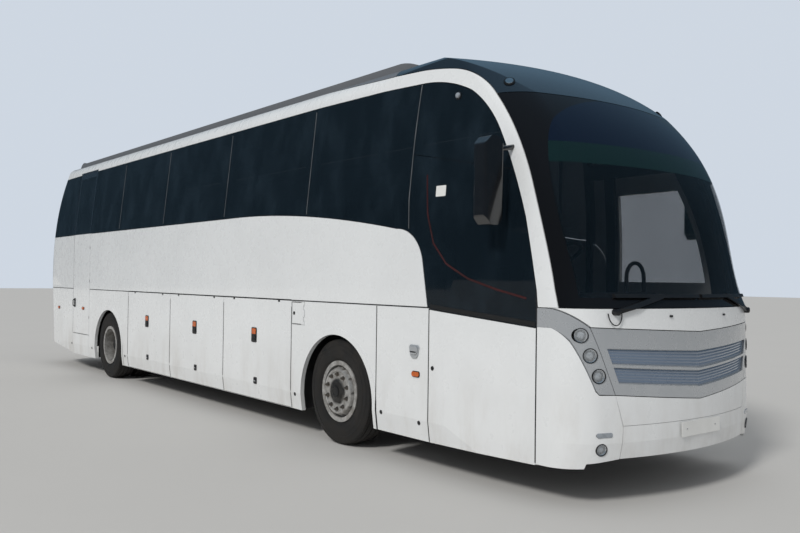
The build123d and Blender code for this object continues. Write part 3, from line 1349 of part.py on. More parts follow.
def front_rim(side):
    y = FRONT_AXLE_Y
    x = FRONT_DISC_X
    inner = RIM_R - 44
    disc = turned([(STUB_R + FIT, 1030), (140, 1030), (140, x - 16), (200, x - 16), (inner - 12, x - 95),
                   (inner, x - 95), (inner, x - 78), (inner - 6, x - 76), (218, x - 8), (210, x), (192, x),
                   (184, x - 6), (118, x - 6), (104, x + 8), (60, x + 18), (0, x + 18),
                   (0, 1153), (STUB_R + FIT, 1153)], y, side)
    ring = turned(barrel(FRONT_FACE_X), y, side)
    rim = largest(ring.fuse(disc))
    return cut_all(rim, hand_holes(y, side, FRONT_HOLES, x - 130, x + 40))


def rear_rims(side):
    y = REAR_AXLE_Y
    x = REAR_DISC_X
    inner_face = WHEEL_FACE_X - TYRE_W - TWIN_GAP
    inner = RIM_R - 44
    hub = turned([(SPINDLE_R + FIT, 655), (150, 655), (165, 860), (inner, 830), (inner, 845), (190, 905),
                  (190, x - 15), (inner, x + 20), (inner, x + 35), (190, x), (135, x), (125, x + 150),
                  (80, x + 190), (0, x + 190),
                  (0, 1124), (SPINDLE_R + FIT, 1124)], y, side)
    parts = [hub, turned(barrel(WHEEL_FACE_X), y, side), turned(barrel(inner_face), y, side)]
    rim = fused(parts)
    return cut_all(largest(rim), hand_holes(y, side, REAR_HOLES, x - 60, x + 60))


for side, mark in ((-1, "right"), (1, "left")):
    keep("front_rim_" + mark, front_rim(side))
    keep("front_tyre_" + mark, turned(tyre_profile(FRONT_FACE_X), FRONT_AXLE_Y, side))
    keep("rear_rims_" + mark, rear_rims(side))
    keep("rear_tyres_" + mark, [turned(tyre_profile(x), REAR_AXLE_Y, side)
                                for x in (WHEEL_FACE_X, WHEEL_FACE_X - TYRE_W - TWIN_GAP)])

# Seats: one solid for a pair, from a side profile
SEAT_PITCH = 790.0
SEAT_FIRST_Y = -3900.0
SEAT_ROWS = 12
SEAT_X = (230.0, 1130.0)
AISLE_Z = FLOOR_Z[1] + SEAT_GAP


def seat_pair(y, z, x0, x1):
    """Pair of seats facing the front: legs, cushion and a raked back."""
    outline = [(y + 130, z), (y + 330, z), (y + 350, z + 300), (y + 470, z + 330), (y + 640, z + 1080),
               ("arc", (y + 600, z + 1120), (y + 545, z + 1080)), (y + 400, z + 470), (y + 20, z + 450),
               ("arc", (y - 5, z + 400), (y + 30, z + 350)), (y + 150, z + 310)]
    return side_prism(outline, x0, x1)


def seats():
    made = []
    for row in range(SEAT_ROWS):
        y = SEAT_FIRST_Y + row * SEAT_PITCH
        for side in (-1, 1):
            if side < 0 and y + 640 > EXIT_Y[0] - 60 and y < EXIT_Y[1]:
                continue
            made.append(seat_pair(y, AISLE_Z, side * SEAT_X[0], side * SEAT_X[1]))
    return made


DRIVER_X = (-900.0, -420.0)
DRIVER_Y = -5050.0
keep("seats", seats() + [seat_pair(DRIVER_Y, CAB_FLOOR_Z[1] + SEAT_GAP, *DRIVER_X)])

# Dashboard across the cab, with the steering column's boss


def dashboard():
    low = CAB_FLOOR_Z[1] + SEAT_GAP
    outline = [(CAB_FRONT_Y + 10, low), (-5700.0, low), (-5640.0, 1330.0), (-5560.0, 1440.0),
               ("arc", (-5600.0, 1500.0), (-5700.0, 1500.0)), (-5960.0, 1430.0), (-6010.0, 1300.0)]
    return side_prism(outline, -1040.0, STEP_X).intersect(INSIDE)


keep("dashboard", dashboard())
WHEEL_C = (-650.0, -5420.0, 1790.0)
WHEEL_TILT = math.radians(28)
WHEEL_R = 225.0


def steering_wheel():
    tilt = Vector(0, math.sin(WHEEL_TILT), math.cos(WHEEL_TILT))
    centre = Vector(*WHEEL_C)
    ring = Solid.make_torus(WHEEL_R, 15, Plane(origin=centre, z_dir=tilt))
    foot = centre - tilt * 380
    column = rod(tuple(foot), tuple(centre + tilt * 12), 38.0)
    x, y, z = WHEEL_C
    spoke = rod((x - WHEEL_R, y, z), (x + WHEEL_R, y, z), 12.0)
    return fused([ring, column, spoke])


keep("steering_wheel", largest(largest(steering_wheel()).cut(NODES["dashboard"][0])))

# Mirrors on arms from the front pillars
MIRROR_X = (1290.0, 1480.0)
MIRROR_Y = -5420.0
MIRROR_Z = (2010.0, 2670.0)
MIRROR_D = (60.0, 75.0)      # ahead of and behind the station
ARM_R = 20.0


def mirror(side):
    (x0, x1), (z0, z1) = MIRROR_X, MIRROR_Z
    cut = 60.0
    outline = [(x0, z0 + cut), (x0 + cut, z0), (x1 - cut, z0), (x1, z0 + cut), (x1, z1 - cut),
               (x1 - cut, z1), (x0 + cut, z1), (x0, z1 - cut)]
    head = front_prism([(side * x, z) for x, z in outline], MIRROR_Y - MIRROR_D[0], MIRROR_Y + MIRROR_D[1])
    long_edges = [edge for edge in head.edges() if edge.length > 100.0]
    head = head.fillet(22.0, long_edges)
    arm = rod((side * 1120, MIRROR_Y - 20, z1 - 50), (side * (x0 + 20), MIRROR_Y, z1 - 90), ARM_R)
    return max(solids_of(fused([head, arm]).cut(BODY_CLEAR)), key=lambda s: s.volume)


keep("mirrors", [mirror(-1), mirror(1)])

# Wipers, parked low on the screen. Columns: pivot x, pivot z, blade's ends x, blade's height
WIPERS = ((-870.0, 1385.0, -850.0, 20.0, 1500.0), (950.0, 1375.0, 60.0, 960.0, 1500.0))
BOSS_R = 24.0


def strip(x0, z0, x1, z1, width):
    """Straight bar seen from the front, as an outline."""
    length = math.dist((x0, z0), (x1, z1))
    dx, dz = (z0 - z1) / length * width / 2, (x1 - x0) / length * width / 2
    return [(x0 + dx, z0 + dz), (x0 - dx, z0 - dz), (x1 - dx, z1 - dz), (x1 + dx, z1 + dz)]


def wiper(row):
    x, z, left, right, blade_z = row
    mid = (left + right) / 2
    ahead = (NOSE_Y - 60, -5700.0)
    parts = cut_from(WIPER_SHELL, front_prism(strip(x, z, mid, blade_z, 34.0), *ahead))
    parts += cut_from(WIPER_SHELL, front_prism(strip(left, blade_z, right, blade_z, 26.0), *ahead))
    boss = largest(rod((x, -5900.0, z), (x, -6400.0, z), BOSS_R).intersect(WIPER_SKIN))
    return fused(parts + [largest(boss.cut(BODY_CLEAR))])


keep("wipers", [wiper(row) for row in WIPERS])


def output():
    """Writes one file per node."""
    os.makedirs("parts", exist_ok=True)
    for name, solids in NODES.items():
        shape = Compound(children=solids) if len(solids) > 1 else solids[0]
        export_step(shape, "parts/" + name + ".step")


output()
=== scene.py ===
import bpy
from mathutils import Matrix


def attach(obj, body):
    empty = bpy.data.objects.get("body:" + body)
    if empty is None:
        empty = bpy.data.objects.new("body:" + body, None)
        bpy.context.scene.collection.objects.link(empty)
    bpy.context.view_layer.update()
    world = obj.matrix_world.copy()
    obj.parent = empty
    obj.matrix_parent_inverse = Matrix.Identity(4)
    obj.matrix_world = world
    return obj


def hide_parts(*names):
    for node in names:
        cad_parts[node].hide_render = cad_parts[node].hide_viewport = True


bl_info = {
    "name": "Touring coach finish",
    "version": (1, 0, 0),
    "blender": (4, 5, 0),
    "location": "3D View > Sidebar > Coach",
    "description": "Paints and fits out the packed touring coach and lights it on a plain stage",
    "category": "Object",
}

import math

import bmesh
import bpy
from bpy.props import FloatProperty, FloatVectorProperty, IntProperty, PointerProperty
from mathutils import Matrix, Vector
from mathutils.bvhtree import BVHTree

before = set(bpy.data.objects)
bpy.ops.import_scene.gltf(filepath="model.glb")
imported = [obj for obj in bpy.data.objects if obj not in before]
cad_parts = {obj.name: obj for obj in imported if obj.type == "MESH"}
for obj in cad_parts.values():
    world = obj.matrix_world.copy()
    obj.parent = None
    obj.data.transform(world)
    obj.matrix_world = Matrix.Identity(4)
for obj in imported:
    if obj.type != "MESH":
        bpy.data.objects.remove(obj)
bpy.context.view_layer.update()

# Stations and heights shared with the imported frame, in metres. The front faces -Y, and +X is the
# coach's left.
FRONT_AXLE_Y = -3.215
REAR_AXLE_Y = 3.11
HUB_Z = 0.512
TYRE_R = 0.512
TYRE_W = 0.29
FRONT_FACE_X = 1.208
REAR_FACE_X = 1.225
TWIN_GAP = 0.045
SIDES = (("right", -1), ("left", 1))
LOCKER_SEAMS = (-2.405, -0.855, 0.715, 2.255)
WINDOW_SEAMS = (-4.315, -2.67, -0.82, 1.01, 2.7)
SEAM_Z = 1.366
LOCKER_DOORS = tuple(f"locker_door_{mark}_{number}" for mark, _ in SIDES for number in (1, 2, 3))
SIDE_PANELS = ("arch_mouldings", "cantrails", "entrance_door", "front_mouldings", "fuel_flap",
               "skirt_panels", "tail_bumper", "tail_moulding", "waist_panels") + LOCKER_DOORS
QUARTER_X = Matrix.Rotation(math.radians(90), 4, "X")
QUARTER_Z = Matrix.Rotation(math.radians(90), 4, "Z")


# Sizes and colours that a user would change

def colour(name, value, description):
    return FloatVectorProperty(name=name, description=description, default=value, subtype="COLOR",
                               size=3, min=0.0, max=1.0)


def length(name, value, description):
    return FloatProperty(name=name, description=description, default=value, subtype="DISTANCE",
                         unit="LENGTH")


class COACH_PG_colours(bpy.types.PropertyGroup):
    """Colours of the finishes"""

    white: colour("White paint", (0.78, 0.795, 0.80), "Body panels")
    silver: colour("Silver paint", (0.48, 0.50, 0.52), "Lamp panels and grille")
    grey: colour("Grey paint", (0.15, 0.155, 0.165), "Roof and roof pods")
    dome: colour("Dome", (0.010, 0.016, 0.024), "Dark gloss over the windscreen")
    band: colour("Screen band", (0.004, 0.008, 0.020), "Opaque band over the windscreen")
    glass: colour("Glass", (0.006, 0.011, 0.016), "Tinted panes")
    rubber: colour("Rubber", (0.018, 0.018, 0.019), "Seals and tyres")
    alloy: colour("Alloy", (0.50, 0.49, 0.47), "Wheel rims")
    amber: colour("Amber", (0.62, 0.12, 0.010), "Repeaters and side markers")
    red: colour("Red", (0.42, 0.01, 0.012), "Tail lamps")
    seat: colour("Seat cloth", (0.035, 0.045, 0.10), "Woven seat covers")
    dust: colour("Road dust", (0.33, 0.28, 0.22), "Dust low on the body and the wheels")


class COACH_PG_sizes(bpy.types.PropertyGroup):
    """Sizes of the fittings"""

    groove_depth: length("Groove depth", 0.011, "Depth of the main tread grooves")
    groove_width: length("Groove width", 0.010, "Width of the main tread grooves")
    nut_circle: length("Nut circle", 0.1675, "Radius on which the wheel nuts sit")
    nut_size: length("Nut size", 0.0165, "Half the width of a wheel nut across its corners")
    seal_width: length("Seal width", 0.010, "Width of the seals between panes")
    seam_width: length("Seam width", 0.011, "Width of the rubber between fixed panels")
    edging_width: length("Edging width", 0.004, "Width of the rubber round the doors")
    wheel_nuts: IntProperty(name="Wheel nuts", description="Nuts on each wheel", default=10, min=6, max=12)


class COACH_PG_stage(bpy.types.PropertyGroup):
    """Light and backdrop"""

    key: FloatProperty(name="Key light", description="Strength of the high soft lamp", default=1.85, min=0.0)
    fill: FloatProperty(name="Fill light", description="Strength of the light from all round", default=0.55,
                        min=0.0)
    floor: colour("Floor", (0.56, 0.55, 0.53), "Plain pale floor")
    backdrop: colour("Backdrop", (0.62, 0.68, 0.76), "What shows behind the coach")
    low_sky: colour("Low sky", (0.035, 0.06, 0.085), "What gloss mirrors at the horizon")
    high_sky: colour("High sky", (0.13, 0.22, 0.31), "What gloss mirrors overhead")


# Windscreen: top of its printed sill, bottom of its tint and of its opaque band, and the line
# station = lean x height + border behind which the pillars' border begins
SCREEN_SILL = 1.485
SCREEN_TINT = 2.485
SCREEN_BAND = 2.645
SCREEN_LEAN = 0.292
SCREEN_BORDER = -6.46


# Materials

def new_finish(name):
    """A material and its node tree."""
    material = bpy.data.materials.new(name)
    material.use_nodes = True
    return material, material.node_tree


def feed(tree, socket, value):
    """Link a socket to an input, or set a plain value on it."""
    if isinstance(value, bpy.types.NodeSocket):
        tree.links.new(value, socket)
    else:
        socket.default_value = value


def finished(material, **values):
    """The material, with values or sockets on its shader; underscores stand for spaces."""
    tree = material.node_tree
    for key, value in values.items():
        feed(tree, tree.nodes["Principled BSDF"].inputs[key.replace("_", " ")], value)
    return material


def add(tree, kind, inputs=None, **settings):
    """One shader node: settings are its properties, inputs are values or sockets to link."""
    made = tree.nodes.new(kind)
    for key, value in settings.items():
        setattr(made, key, value)
    for key, value in (inputs or {}).items():
        feed(tree, made.inputs[key], value)
    return made


def object_point(tree):
    return add(tree, "ShaderNodeTexCoord").outputs["Object"]


def noise(tree, scale, detail=3.0, roughness=0.55, stretch=None):
    """Noise from 0 to 1 on object coordinates, stretched along an axis where stretch is given."""
    point = object_point(tree)
    if stretch:
        point = add(tree, "ShaderNodeMapping", {"Vector": point, "Scale": stretch}).outputs["Vector"]
    found = add(tree, "ShaderNodeTexNoise", {"Vector": point, "Scale": scale, "Detail": detail,
                                             "Roughness": roughness})
    return found.outputs["Fac"]


def ranged(tree, value, low, high, new_low=0.0, new_high=1.0):
    """value between low and high brought to new_low and new_high, smooth at both ends."""
    found = add(tree, "ShaderNodeMapRange", {"Value": value, "From Min": low, "From Max": high,
                                             "To Min": new_low, "To Max": new_high},
                interpolation_type="SMOOTHSTEP")
    return found.outputs["Result"]


def maths(tree, a, b, operation="MULTIPLY"):
    """Result of one operation on two values or sockets."""
    return add(tree, "ShaderNodeMath", {0: a, 1: b}, operation=operation).outputs[0]


def blended(tree, factor, a, b):
    """Colour a where factor is 0 and b where it is 1."""
    mix = add(tree, "ShaderNodeMix", data_type="RGBA")
    feed(tree, mix.inputs[0], factor)
    for slot, value in ((6, a), (7, b)):
        linked = isinstance(value, bpy.types.NodeSocket)
        feed(tree, mix.inputs[slot], value if linked else (*value, 1.0))
    return mix.outputs[2]


def toned(shade, share):
    return [c * share for c in shade]


def height(tree):
    return add(tree, "ShaderNodeSeparateXYZ", {"Vector": object_point(tree)}).outputs["Z"]


def bumped(tree, value, distance, strength):
    bump = add(tree, "ShaderNodeBump", {"Height": value, "Distance": distance, "Strength": strength})
    return bump.outputs["Normal"]


def gloss_paint(name, paint, dust, dust_top=1.15, dust_share=0.35, coat=0.6, rough=0.28, metallic=0.0,
                upper=None, peel=0.12):
    """Coach enamel: faint mottling, road film that thickens towards the ground, orange peel.
    upper is (height, colour) where the panel changes colour above a height."""
    material, tree = new_finish(name)
    mottle = ranged(tree, noise(tree, 1.3, 4.0), 0.35, 0.65)
    shade = blended(tree, mottle, toned(paint, 0.965), paint)
    if upper:
        shade = blended(tree, maths(tree, height(tree), upper[0], "GREATER_THAN"), shade, upper[1])
    low = ranged(tree, height(tree), 0.25, dust_top, 1.0, 0.0)
    streak = noise(tree, 2.6, 5.0, 0.65, (1.0, 1.0, 0.35))
    film = maths(tree, maths(tree, low, ranged(tree, streak, 0.38, 0.72, 0.15, 1.0)), dust_share)
    dull = ranged(tree, noise(tree, 9.0, 5.0), 0.3, 0.7, rough - 0.04, rough + 0.06)
    return finished(material, Base_Color=blended(tree, film, shade, dust),
                    Roughness=maths(tree, dull, maths(tree, film, 0.5), "ADD"),
                    Normal=bumped(tree, noise(tree, 420.0, 2.0), 0.00012, peel),
                    Coat_Weight=coat, Coat_Roughness=0.06, Metallic=metallic)


def smeared(tree, low, high):
    """Values from low to high by the vertical smears on glass."""
    return ranged(tree, noise(tree, 3.5, 5.0, 0.6, (1.0, 1.0, 0.5)), 0.35, 0.8, low, high)


def tinted_glass(name, tint, alpha):
    """Dark bonded pane: a thin film of grime over a clear dark body."""
    material, tree = new_finish(name)
    grime = ranged(tree, noise(tree, 3.5, 5.0, 0.6, (1.0, 1.0, 0.5)), 0.4, 0.75)
    return finished(material, Base_Color=blended(tree, grime, tint, [c * 1.6 + 0.002 for c in tint]),
                    Roughness=smeared(tree, 0.03, 0.10), Alpha=smeared(tree, alpha, min(alpha + 0.06, 1.0)),
                    Specular_IOR_Level=0.25, IOR=1.45)


def screen_glass(name, tint, band):
    """Windscreen: opaque band above, deep tint below it, printed border along pillars and sill; below the
    tint the clear part is partly opaque, partly painted shade of the cab.
    """
    material, tree = new_finish(name)
    place = add(tree, "ShaderNodeSeparateXYZ", {"Vector": object_point(tree)})
    level = place.outputs["Z"]
    rear = maths(tree, place.outputs["Y"], maths(tree, level, SCREEN_LEAN), "SUBTRACT")
    border = maths(tree, maths(tree, rear, SCREEN_BORDER, "GREATER_THAN"),
                   maths(tree, level, SCREEN_SILL, "LESS_THAN"), "MAXIMUM")
    above = maths(tree, level, SCREEN_BAND, "GREATER_THAN")
    solid = maths(tree, border, above, "MAXIMUM")
    deep = ranged(tree, level, SCREEN_TINT - 0.01, SCREEN_TINT)
    shade = blended(tree, deep, tint, (tint[0], tint[1] * 1.8, tint[2] * 1.3))
    shade = blended(tree, above, shade, band)
    # Below the tint line the pane is 0.42 opaque in its dark tint: partly the glass's own tint, partly
    # painted shade of the dim cab behind it
    see = ranged(tree, deep, 0.0, 1.0, 0.42, 0.86)
    return finished(material, Base_Color=blended(tree, border, shade, (0.006, 0.006, 0.007)),
                    Roughness=smeared(tree, 0.03, 0.10), Alpha=maths(tree, see, solid, "MAXIMUM"),
                    Specular_IOR_Level=0.3, IOR=1.45)


def clear_lens(name, tint, alpha, ribs=0.0):
    """Lamp lens: fluted inside where ribs is above nought."""
    material, tree = new_finish(name)
    fine = noise(tree, 30.0, 3.0)
    if ribs:
        wave = add(tree, "ShaderNodeTexWave", {"Vector": object_point(tree), "Scale": ribs},
                   wave_type="BANDS", bands_direction="Z")
        finished(material, Normal=bumped(tree, wave.outputs["Fac"], 0.002, 0.5))
    return finished(material, Alpha=alpha, IOR=1.5, Coat_Weight=0.5, Coat_Roughness=0.03,
                    Base_Color=blended(tree, ranged(tree, fine, 0.4, 0.6), tint, toned(tint, 0.8)),
                    Roughness=ranged(tree, fine, 0.3, 0.7, 0.04, 0.12))


def moulded(name, base, rough=0.5, grain=260.0, depth=0.0004, dust=None, dust_share=0.0, spread=0.2):
    """Grained plastic or rubber, dusty near the ground where dust is given."""
    material, tree = new_finish(name)
    cloudy = noise(tree, 6.0, 4.0)
    shade = blended(tree, ranged(tree, cloudy, 0.35, 0.65), toned(base, 1 - spread),
                    toned(base, 1 + spread))
    if dust:
        low = ranged(tree, height(tree), 0.1, 1.0, 1.0, 0.25)
        patch = ranged(tree, noise(tree, 5.0, 6.0, 0.7), 0.4, 0.75)
        shade = blended(tree, maths(tree, maths(tree, low, patch), dust_share), shade, dust)
    return finished(material, Base_Color=shade,
                    Roughness=ranged(tree, cloudy, 0.3, 0.7, rough - 0.08, rough + 0.1),
                    Normal=bumped(tree, noise(tree, grain, 2.0), depth, 0.6))


def worn_metal(name, base, rough=0.35, metallic=1.0, dust=None, dust_share=0.4):
    """Machined, cast or bright metal with a patchy film."""
    material, tree = new_finish(name)
    patch = noise(tree, 14.0, 6.0, 0.65)
    shade = blended(tree, ranged(tree, patch, 0.35, 0.7), base, toned(base, 0.72))
    if dust:
        grime = ranged(tree, noise(tree, 7.0, 6.0, 0.7), 0.42, 0.7, 0.0, dust_share)
        shade = blended(tree, grime, shade, dust)
    return finished(material, Base_Color=shade, Metallic=metallic,
                    Roughness=ranged(tree, patch, 0.3, 0.75, rough - 0.1, rough + 0.18),
                    Normal=bumped(tree, noise(tree, 180.0, 3.0, 0.5), 0.0003, 0.4))


def worn_rim(name, base, dust, axle_y, grease):
    """Painted rim: brake dust all over, and a dark greasy centre out to the grease radius."""
    material, tree = new_finish(name)
    patch = noise(tree, 14.0, 6.0, 0.65)
    shade = blended(tree, ranged(tree, patch, 0.35, 0.7), base, toned(base, 0.62))
    grime = ranged(tree, noise(tree, 7.0, 6.0, 0.7), 0.40, 0.7, 0.0, 0.5)
    shade = blended(tree, grime, shade, toned(dust, 0.55))
    place = add(tree, "ShaderNodeVectorMath", {0: object_point(tree), 1: (0.0, 1.0, 1.0)},
                operation="MULTIPLY")
    away = add(tree, "ShaderNodeVectorMath", {0: place.outputs[0], 1: (0.0, axle_y, HUB_Z)},
               operation="DISTANCE").outputs["Value"]
    ragged = maths(tree, away, ranged(tree, patch, 0.3, 0.7, -0.012, 0.012), "ADD")
    centre = ranged(tree, ragged, grease - 0.02, grease + 0.015, 0.93, 0.0)
    return finished(material, Base_Color=blended(tree, centre, shade, (0.012, 0.011, 0.010)),
                    Roughness=ranged(tree, patch, 0.3, 0.75, 0.34, 0.6), Metallic=0.45,
                    Normal=bumped(tree, noise(tree, 180.0, 3.0), 0.0003, 0.4))


def tyre_rubber(name, base, dust):
    """Rubber that has gone brown-grey on its shoulders and tread."""
    material, tree = new_finish(name)
    patch = noise(tree, 5.0, 6.0, 0.7)
    film = ranged(tree, patch, 0.35, 0.75, 0.01, 0.06)
    return finished(material, Base_Color=blended(tree, film, base, dust),
                    Roughness=ranged(tree, patch, 0.3, 0.7, 0.62, 0.85),
                    Normal=bumped(tree, noise(tree, 320.0, 3.0), 0.0006, 0.7))


def seat_cloth(name, base):
    """Woven moquette: two-way weave, small flecks in two tones, soft sheen."""
    material, tree = new_finish(name)
    point = object_point(tree)
    across, along = (add(tree, "ShaderNodeTexWave", {"Vector": point, "Scale": 420.0}, bands_direction=axis)
                     for axis in "XZ")
    weave = maths(tree, across.outputs["Fac"], along.outputs["Fac"])
    fleck = add(tree, "ShaderNodeTexVoronoi", {"Vector": point, "Scale": 48.0})
    spots = ranged(tree, fleck.outputs["Distance"], 0.12, 0.3, 1.0, 0.0)
    shade = blended(tree, weave, toned(base, 0.65), toned(base, 1.35))
    shade = blended(tree, maths(tree, spots, 0.55), shade, (0.30, 0.24, 0.10))
    return finished(material, Base_Color=shade, Normal=bumped(tree, weave, 0.0008, 0.6), Roughness=0.92,
                    Sheen_Weight=0.35, Sheen_Roughness=0.5)


FINISH = {}


def make_finishes(colours):
    """All finishes of the coach, by a plain name."""
    white, dust = colours.white, colours.dust
    FINISH.update(
        white=gloss_paint("white_enamel", white, dust),
        exit=gloss_paint("exit_door_enamel", white, dust, upper=(2.287, colours.dome)),
        silver=gloss_paint("silver_enamel", colours.silver, dust, 1.0, 0.05, 1.0, 0.28,
                           0.45, peel=0.05),
        # field: dark blue-grey over the grille's silver recesses, painted shade and painted sky reflection
        field=gloss_paint("grille_field_painted_shade", (0.20, 0.25, 0.33), dust, 1.0, 0.05, 1.0, 0.3,
                          0.3, peel=0.05),
        sill=moulded("sill_rubber", (0.014, 0.014, 0.014), 0.7),
        bright=worn_metal("bright_trim", (0.72, 0.73, 0.74), 0.22),
        grey=gloss_paint("roof_grey", colours.grey, dust, 0.3, 0.0, 0.35, 0.4),
        dome=gloss_paint("dome_black", colours.dome, dust, 0.3, 0.0, 0.9, 0.12),
        glass=tinted_glass("tinted_pane", colours.glass, 0.86),
        screen=screen_glass("windscreen_pane", colours.glass, colours.band),
        door_glass=tinted_glass("entrance_door_pane", (0.03, 0.09, 0.07), 0.28),
        head=gloss_paint("mirror_head_black", (0.006, 0.006, 0.007), dust, 0.3, 0.0, 0.8, 0.2),
        red_trim=moulded("red_trim", (0.04, 0.004, 0.004), 0.45),
        mirror=worn_metal("mirror_glass", (0.55, 0.58, 0.60), 0.12),
        lining=moulded("grey_lining", (0.10, 0.105, 0.115), 0.65, 120.0),
        lens=clear_lens("clear_lens", (0.75, 0.78, 0.80), 0.25),
        amber=clear_lens("amber_lens", colours.amber, 1.0, 60.0),
        red=clear_lens("red_lens", colours.red, 1.0, 60.0),
        chrome=worn_metal("lamp_chrome", (0.80, 0.81, 0.82), 0.12),
        eye=clear_lens("lamp_eye", (0.30, 0.33, 0.36), 1.0),
        seal=moulded("pane_seal", (0.10, 0.105, 0.11), 0.5),
        nuts=worn_metal("wheel_nut_steel", (0.20, 0.18, 0.16), 0.5, 0.8, dust, 0.5),
        hub=moulded("hub_cap_black", (0.010, 0.010, 0.010), 0.45, 120.0, 0.0004, dust, 0.12),
        plate_front=moulded("plate_white", (0.72, 0.72, 0.70), 0.35, 400.0, 0.0001, spread=0.03),
        plate_rear=moulded("plate_yellow", (0.75, 0.52, 0.05), 0.35, 400.0, 0.0001, spread=0.03),
        front_rim=worn_rim("front_rim_paint", colours.alloy, dust, FRONT_AXLE_Y, 0.125),
        rear_rim=worn_rim("rear_rim_paint", colours.alloy, dust, REAR_AXLE_Y, 0.13),
        iron=worn_metal("cast_iron", (0.09, 0.085, 0.08), 0.65, 0.6, (0.16, 0.11, 0.07), 0.6),
        chassis=moulded("chassis_black", (0.02, 0.02, 0.021), 0.55, 90.0, 0.0006, dust, 0.35),
        rubber=moulded("seal_rubber", colours.rubber, 0.6),
        tyre=tyre_rubber("tyre_rubber", (0.0105, 0.0100, 0.0100), dust),
        plastic=moulded("black_moulding", (0.009, 0.009, 0.010), 0.38),
        trim=moulded("grey_trim", (0.055, 0.055, 0.06), 0.6, 180.0),
        cloth=seat_cloth("seat_moquette", colours.seat),
        floor=moulded("floor_covering", (0.07, 0.07, 0.075), 0.7, 60.0, 0.0006),
        engine=worn_metal("engine_iron", (0.14, 0.14, 0.15), 0.6, 0.7, (0.05, 0.04, 0.03), 0.6))


# CAD nodes by finish
NODE_FINISH = {
    "white": SIDE_PANELS + ("engine_door",),
    "silver": ("grille", "headlamp_panels"),
    "grey": ("roof_panel", "roof_pod"),
    "dome": ("front_dome",),
    "door_glass": ("entrance_door_glass",),
    "glass": ("emergency_door_glass", "rear_window", "side_glass"),
    "screen": ("windscreen",),
    "lens": ("front_lamps",),
    "red": ("tail_lamps",),
    "front_rim": ("front_rim_left", "front_rim_right"),
    "rear_rim": ("rear_rims_left", "rear_rims_right"),
    "iron": ("knuckle_left", "knuckle_right", "rear_axle", "front_axle"),
    "chassis": ("chassis_rails", "cross_members", "front_frame", "hold_floor", "roof_bows", "screen_frame",
                "side_frames", "skirt_frames", "tail_frame", "wheelhouses"),
    "exit": ("emergency_door",),
    "tyre": ("front_tyre_left", "front_tyre_right", "rear_tyres_left", "rear_tyres_right"),
    "head": ("mirrors",),
    "plastic": ("steering_wheel", "wipers"),
    "trim": ("dashboard",),
    "cloth": ("seats",),
    "floor": ("entrance_steps", "saloon_floor"),
    "engine": ("engine",),
}


# Usual slots and the finishes that go in them
SLOT_FINISHES = {
    "tyre": ("tyre",),
    "rim": ("nuts", "hub"),
    "silver_paint": ("bright", "silver", "field"),
    "black_plastic": ("rubber", "plastic", "seal", "sill", "red_trim"),
    "tail_lamp": ("amber", "red"),
    "lamp": ("eye", "lens", "mirror", "chrome"),
    "seat_fabric": ("cloth",),
    "trim": ("trim", "lining"),
    "grey_paint": ("grey",),
    "white_paint": ("plate_front", "plate_rear"),
    "iron": ("iron",),
}
SLOT_OF = {finish: slot for slot, finishes in SLOT_FINISHES.items() for finish in finishes}


# Mesh helpers

def as_piece(bm, name, finish, bevel=0.0, body="coach_body", slot=None, smooth=35.0, subdivide=0):
    """The bmesh as a finished object that rides on a CAD body."""
    slot = slot or SLOT_OF[finish]
    bmesh.ops.remove_doubles(bm, verts=bm.verts, dist=1e-6)
    mesh = bpy.data.meshes.new(name)
    bm.to_mesh(mesh)
    bm.free()
    piece = bpy.data.objects.new(name, mesh)
    bpy.context.scene.collection.objects.link(piece)
    mesh.materials.append(FINISH[finish])
    mesh.shade_smooth()
    mesh.set_sharp_from_angle(angle=math.radians(smooth))
    if bevel:
        edge = piece.modifiers.new("edges", "BEVEL")
        edge.width = bevel
        edge.segments = 2
        edge.limit_method = "ANGLE"
        edge.angle_limit = math.radians(40)
    if subdivide:
        soft = piece.modifiers.new("soft", "SUBSURF")
        soft.levels = soft.render_levels = subdivide
    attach(piece, body)
    return piece


def skin_of(*nodes):
    """Surface of the named CAD nodes, for seating pieces on it."""
    bm = bmesh.new()
    for name in nodes:
        bm.from_mesh(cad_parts[name].data)
    bmesh.ops.triangulate(bm, faces=bm.faces)
    tree = BVHTree.FromBMesh(bm)
    bm.free()
    return tree


# Where the rays start, well clear of the coach, and the least x of a hit on its side
CLEAR_X, CLEAR_Y, CLEAR_Z = 3.0, 9.0, 6.0
SIDE_X = 0.3


def on_side(skin, side, y, z):
    """Point and outward normal where a level line across the coach meets the skin's side."""
    hit, normal, _, _ = skin.ray_cast(Vector((side * CLEAR_X, y, z)), Vector((-side, 0, 0)))
    if hit is None or hit.x * side < SIDE_X:
        raise ValueError(f"no side skin at y {y:.3f}, z {z:.3f}")
    return hit, normal if normal.x * side > 0 else -normal


def on_end(skin, end, x, z):
    """Point and outward normal where a line along the coach meets its front (-1) or tail (1)."""
    hit, normal, _, _ = skin.ray_cast(Vector((x, end * CLEAR_Y, z)), Vector((0, -end, 0)))
    if hit is None:
        raise ValueError(f"no end skin at x {x:.3f}, z {z:.3f}")
    return hit, normal if normal.y * end > 0 else -normal


def standing(hit, outward, up=(0, 0, 1)):
    """Frame with Z outwards from a skin, Y as near up as it goes, and its origin at hit."""
    z = Vector(outward).normalized()
    x = Vector(up).cross(z).normalized()
    y = z.cross(x)
    turn = Matrix((x, y, z)).transposed().to_4x4()
    return Matrix.Translation(hit) @ turn


def side_place(skin, side, y, z):
    return standing(*on_side(skin, side, y, z))


def end_place(skin, end, x, z):
    return standing(*on_end(skin, end, x, z))


def shifted(place, x, y, z):
    return place @ Matrix.Translation((x, y, z))


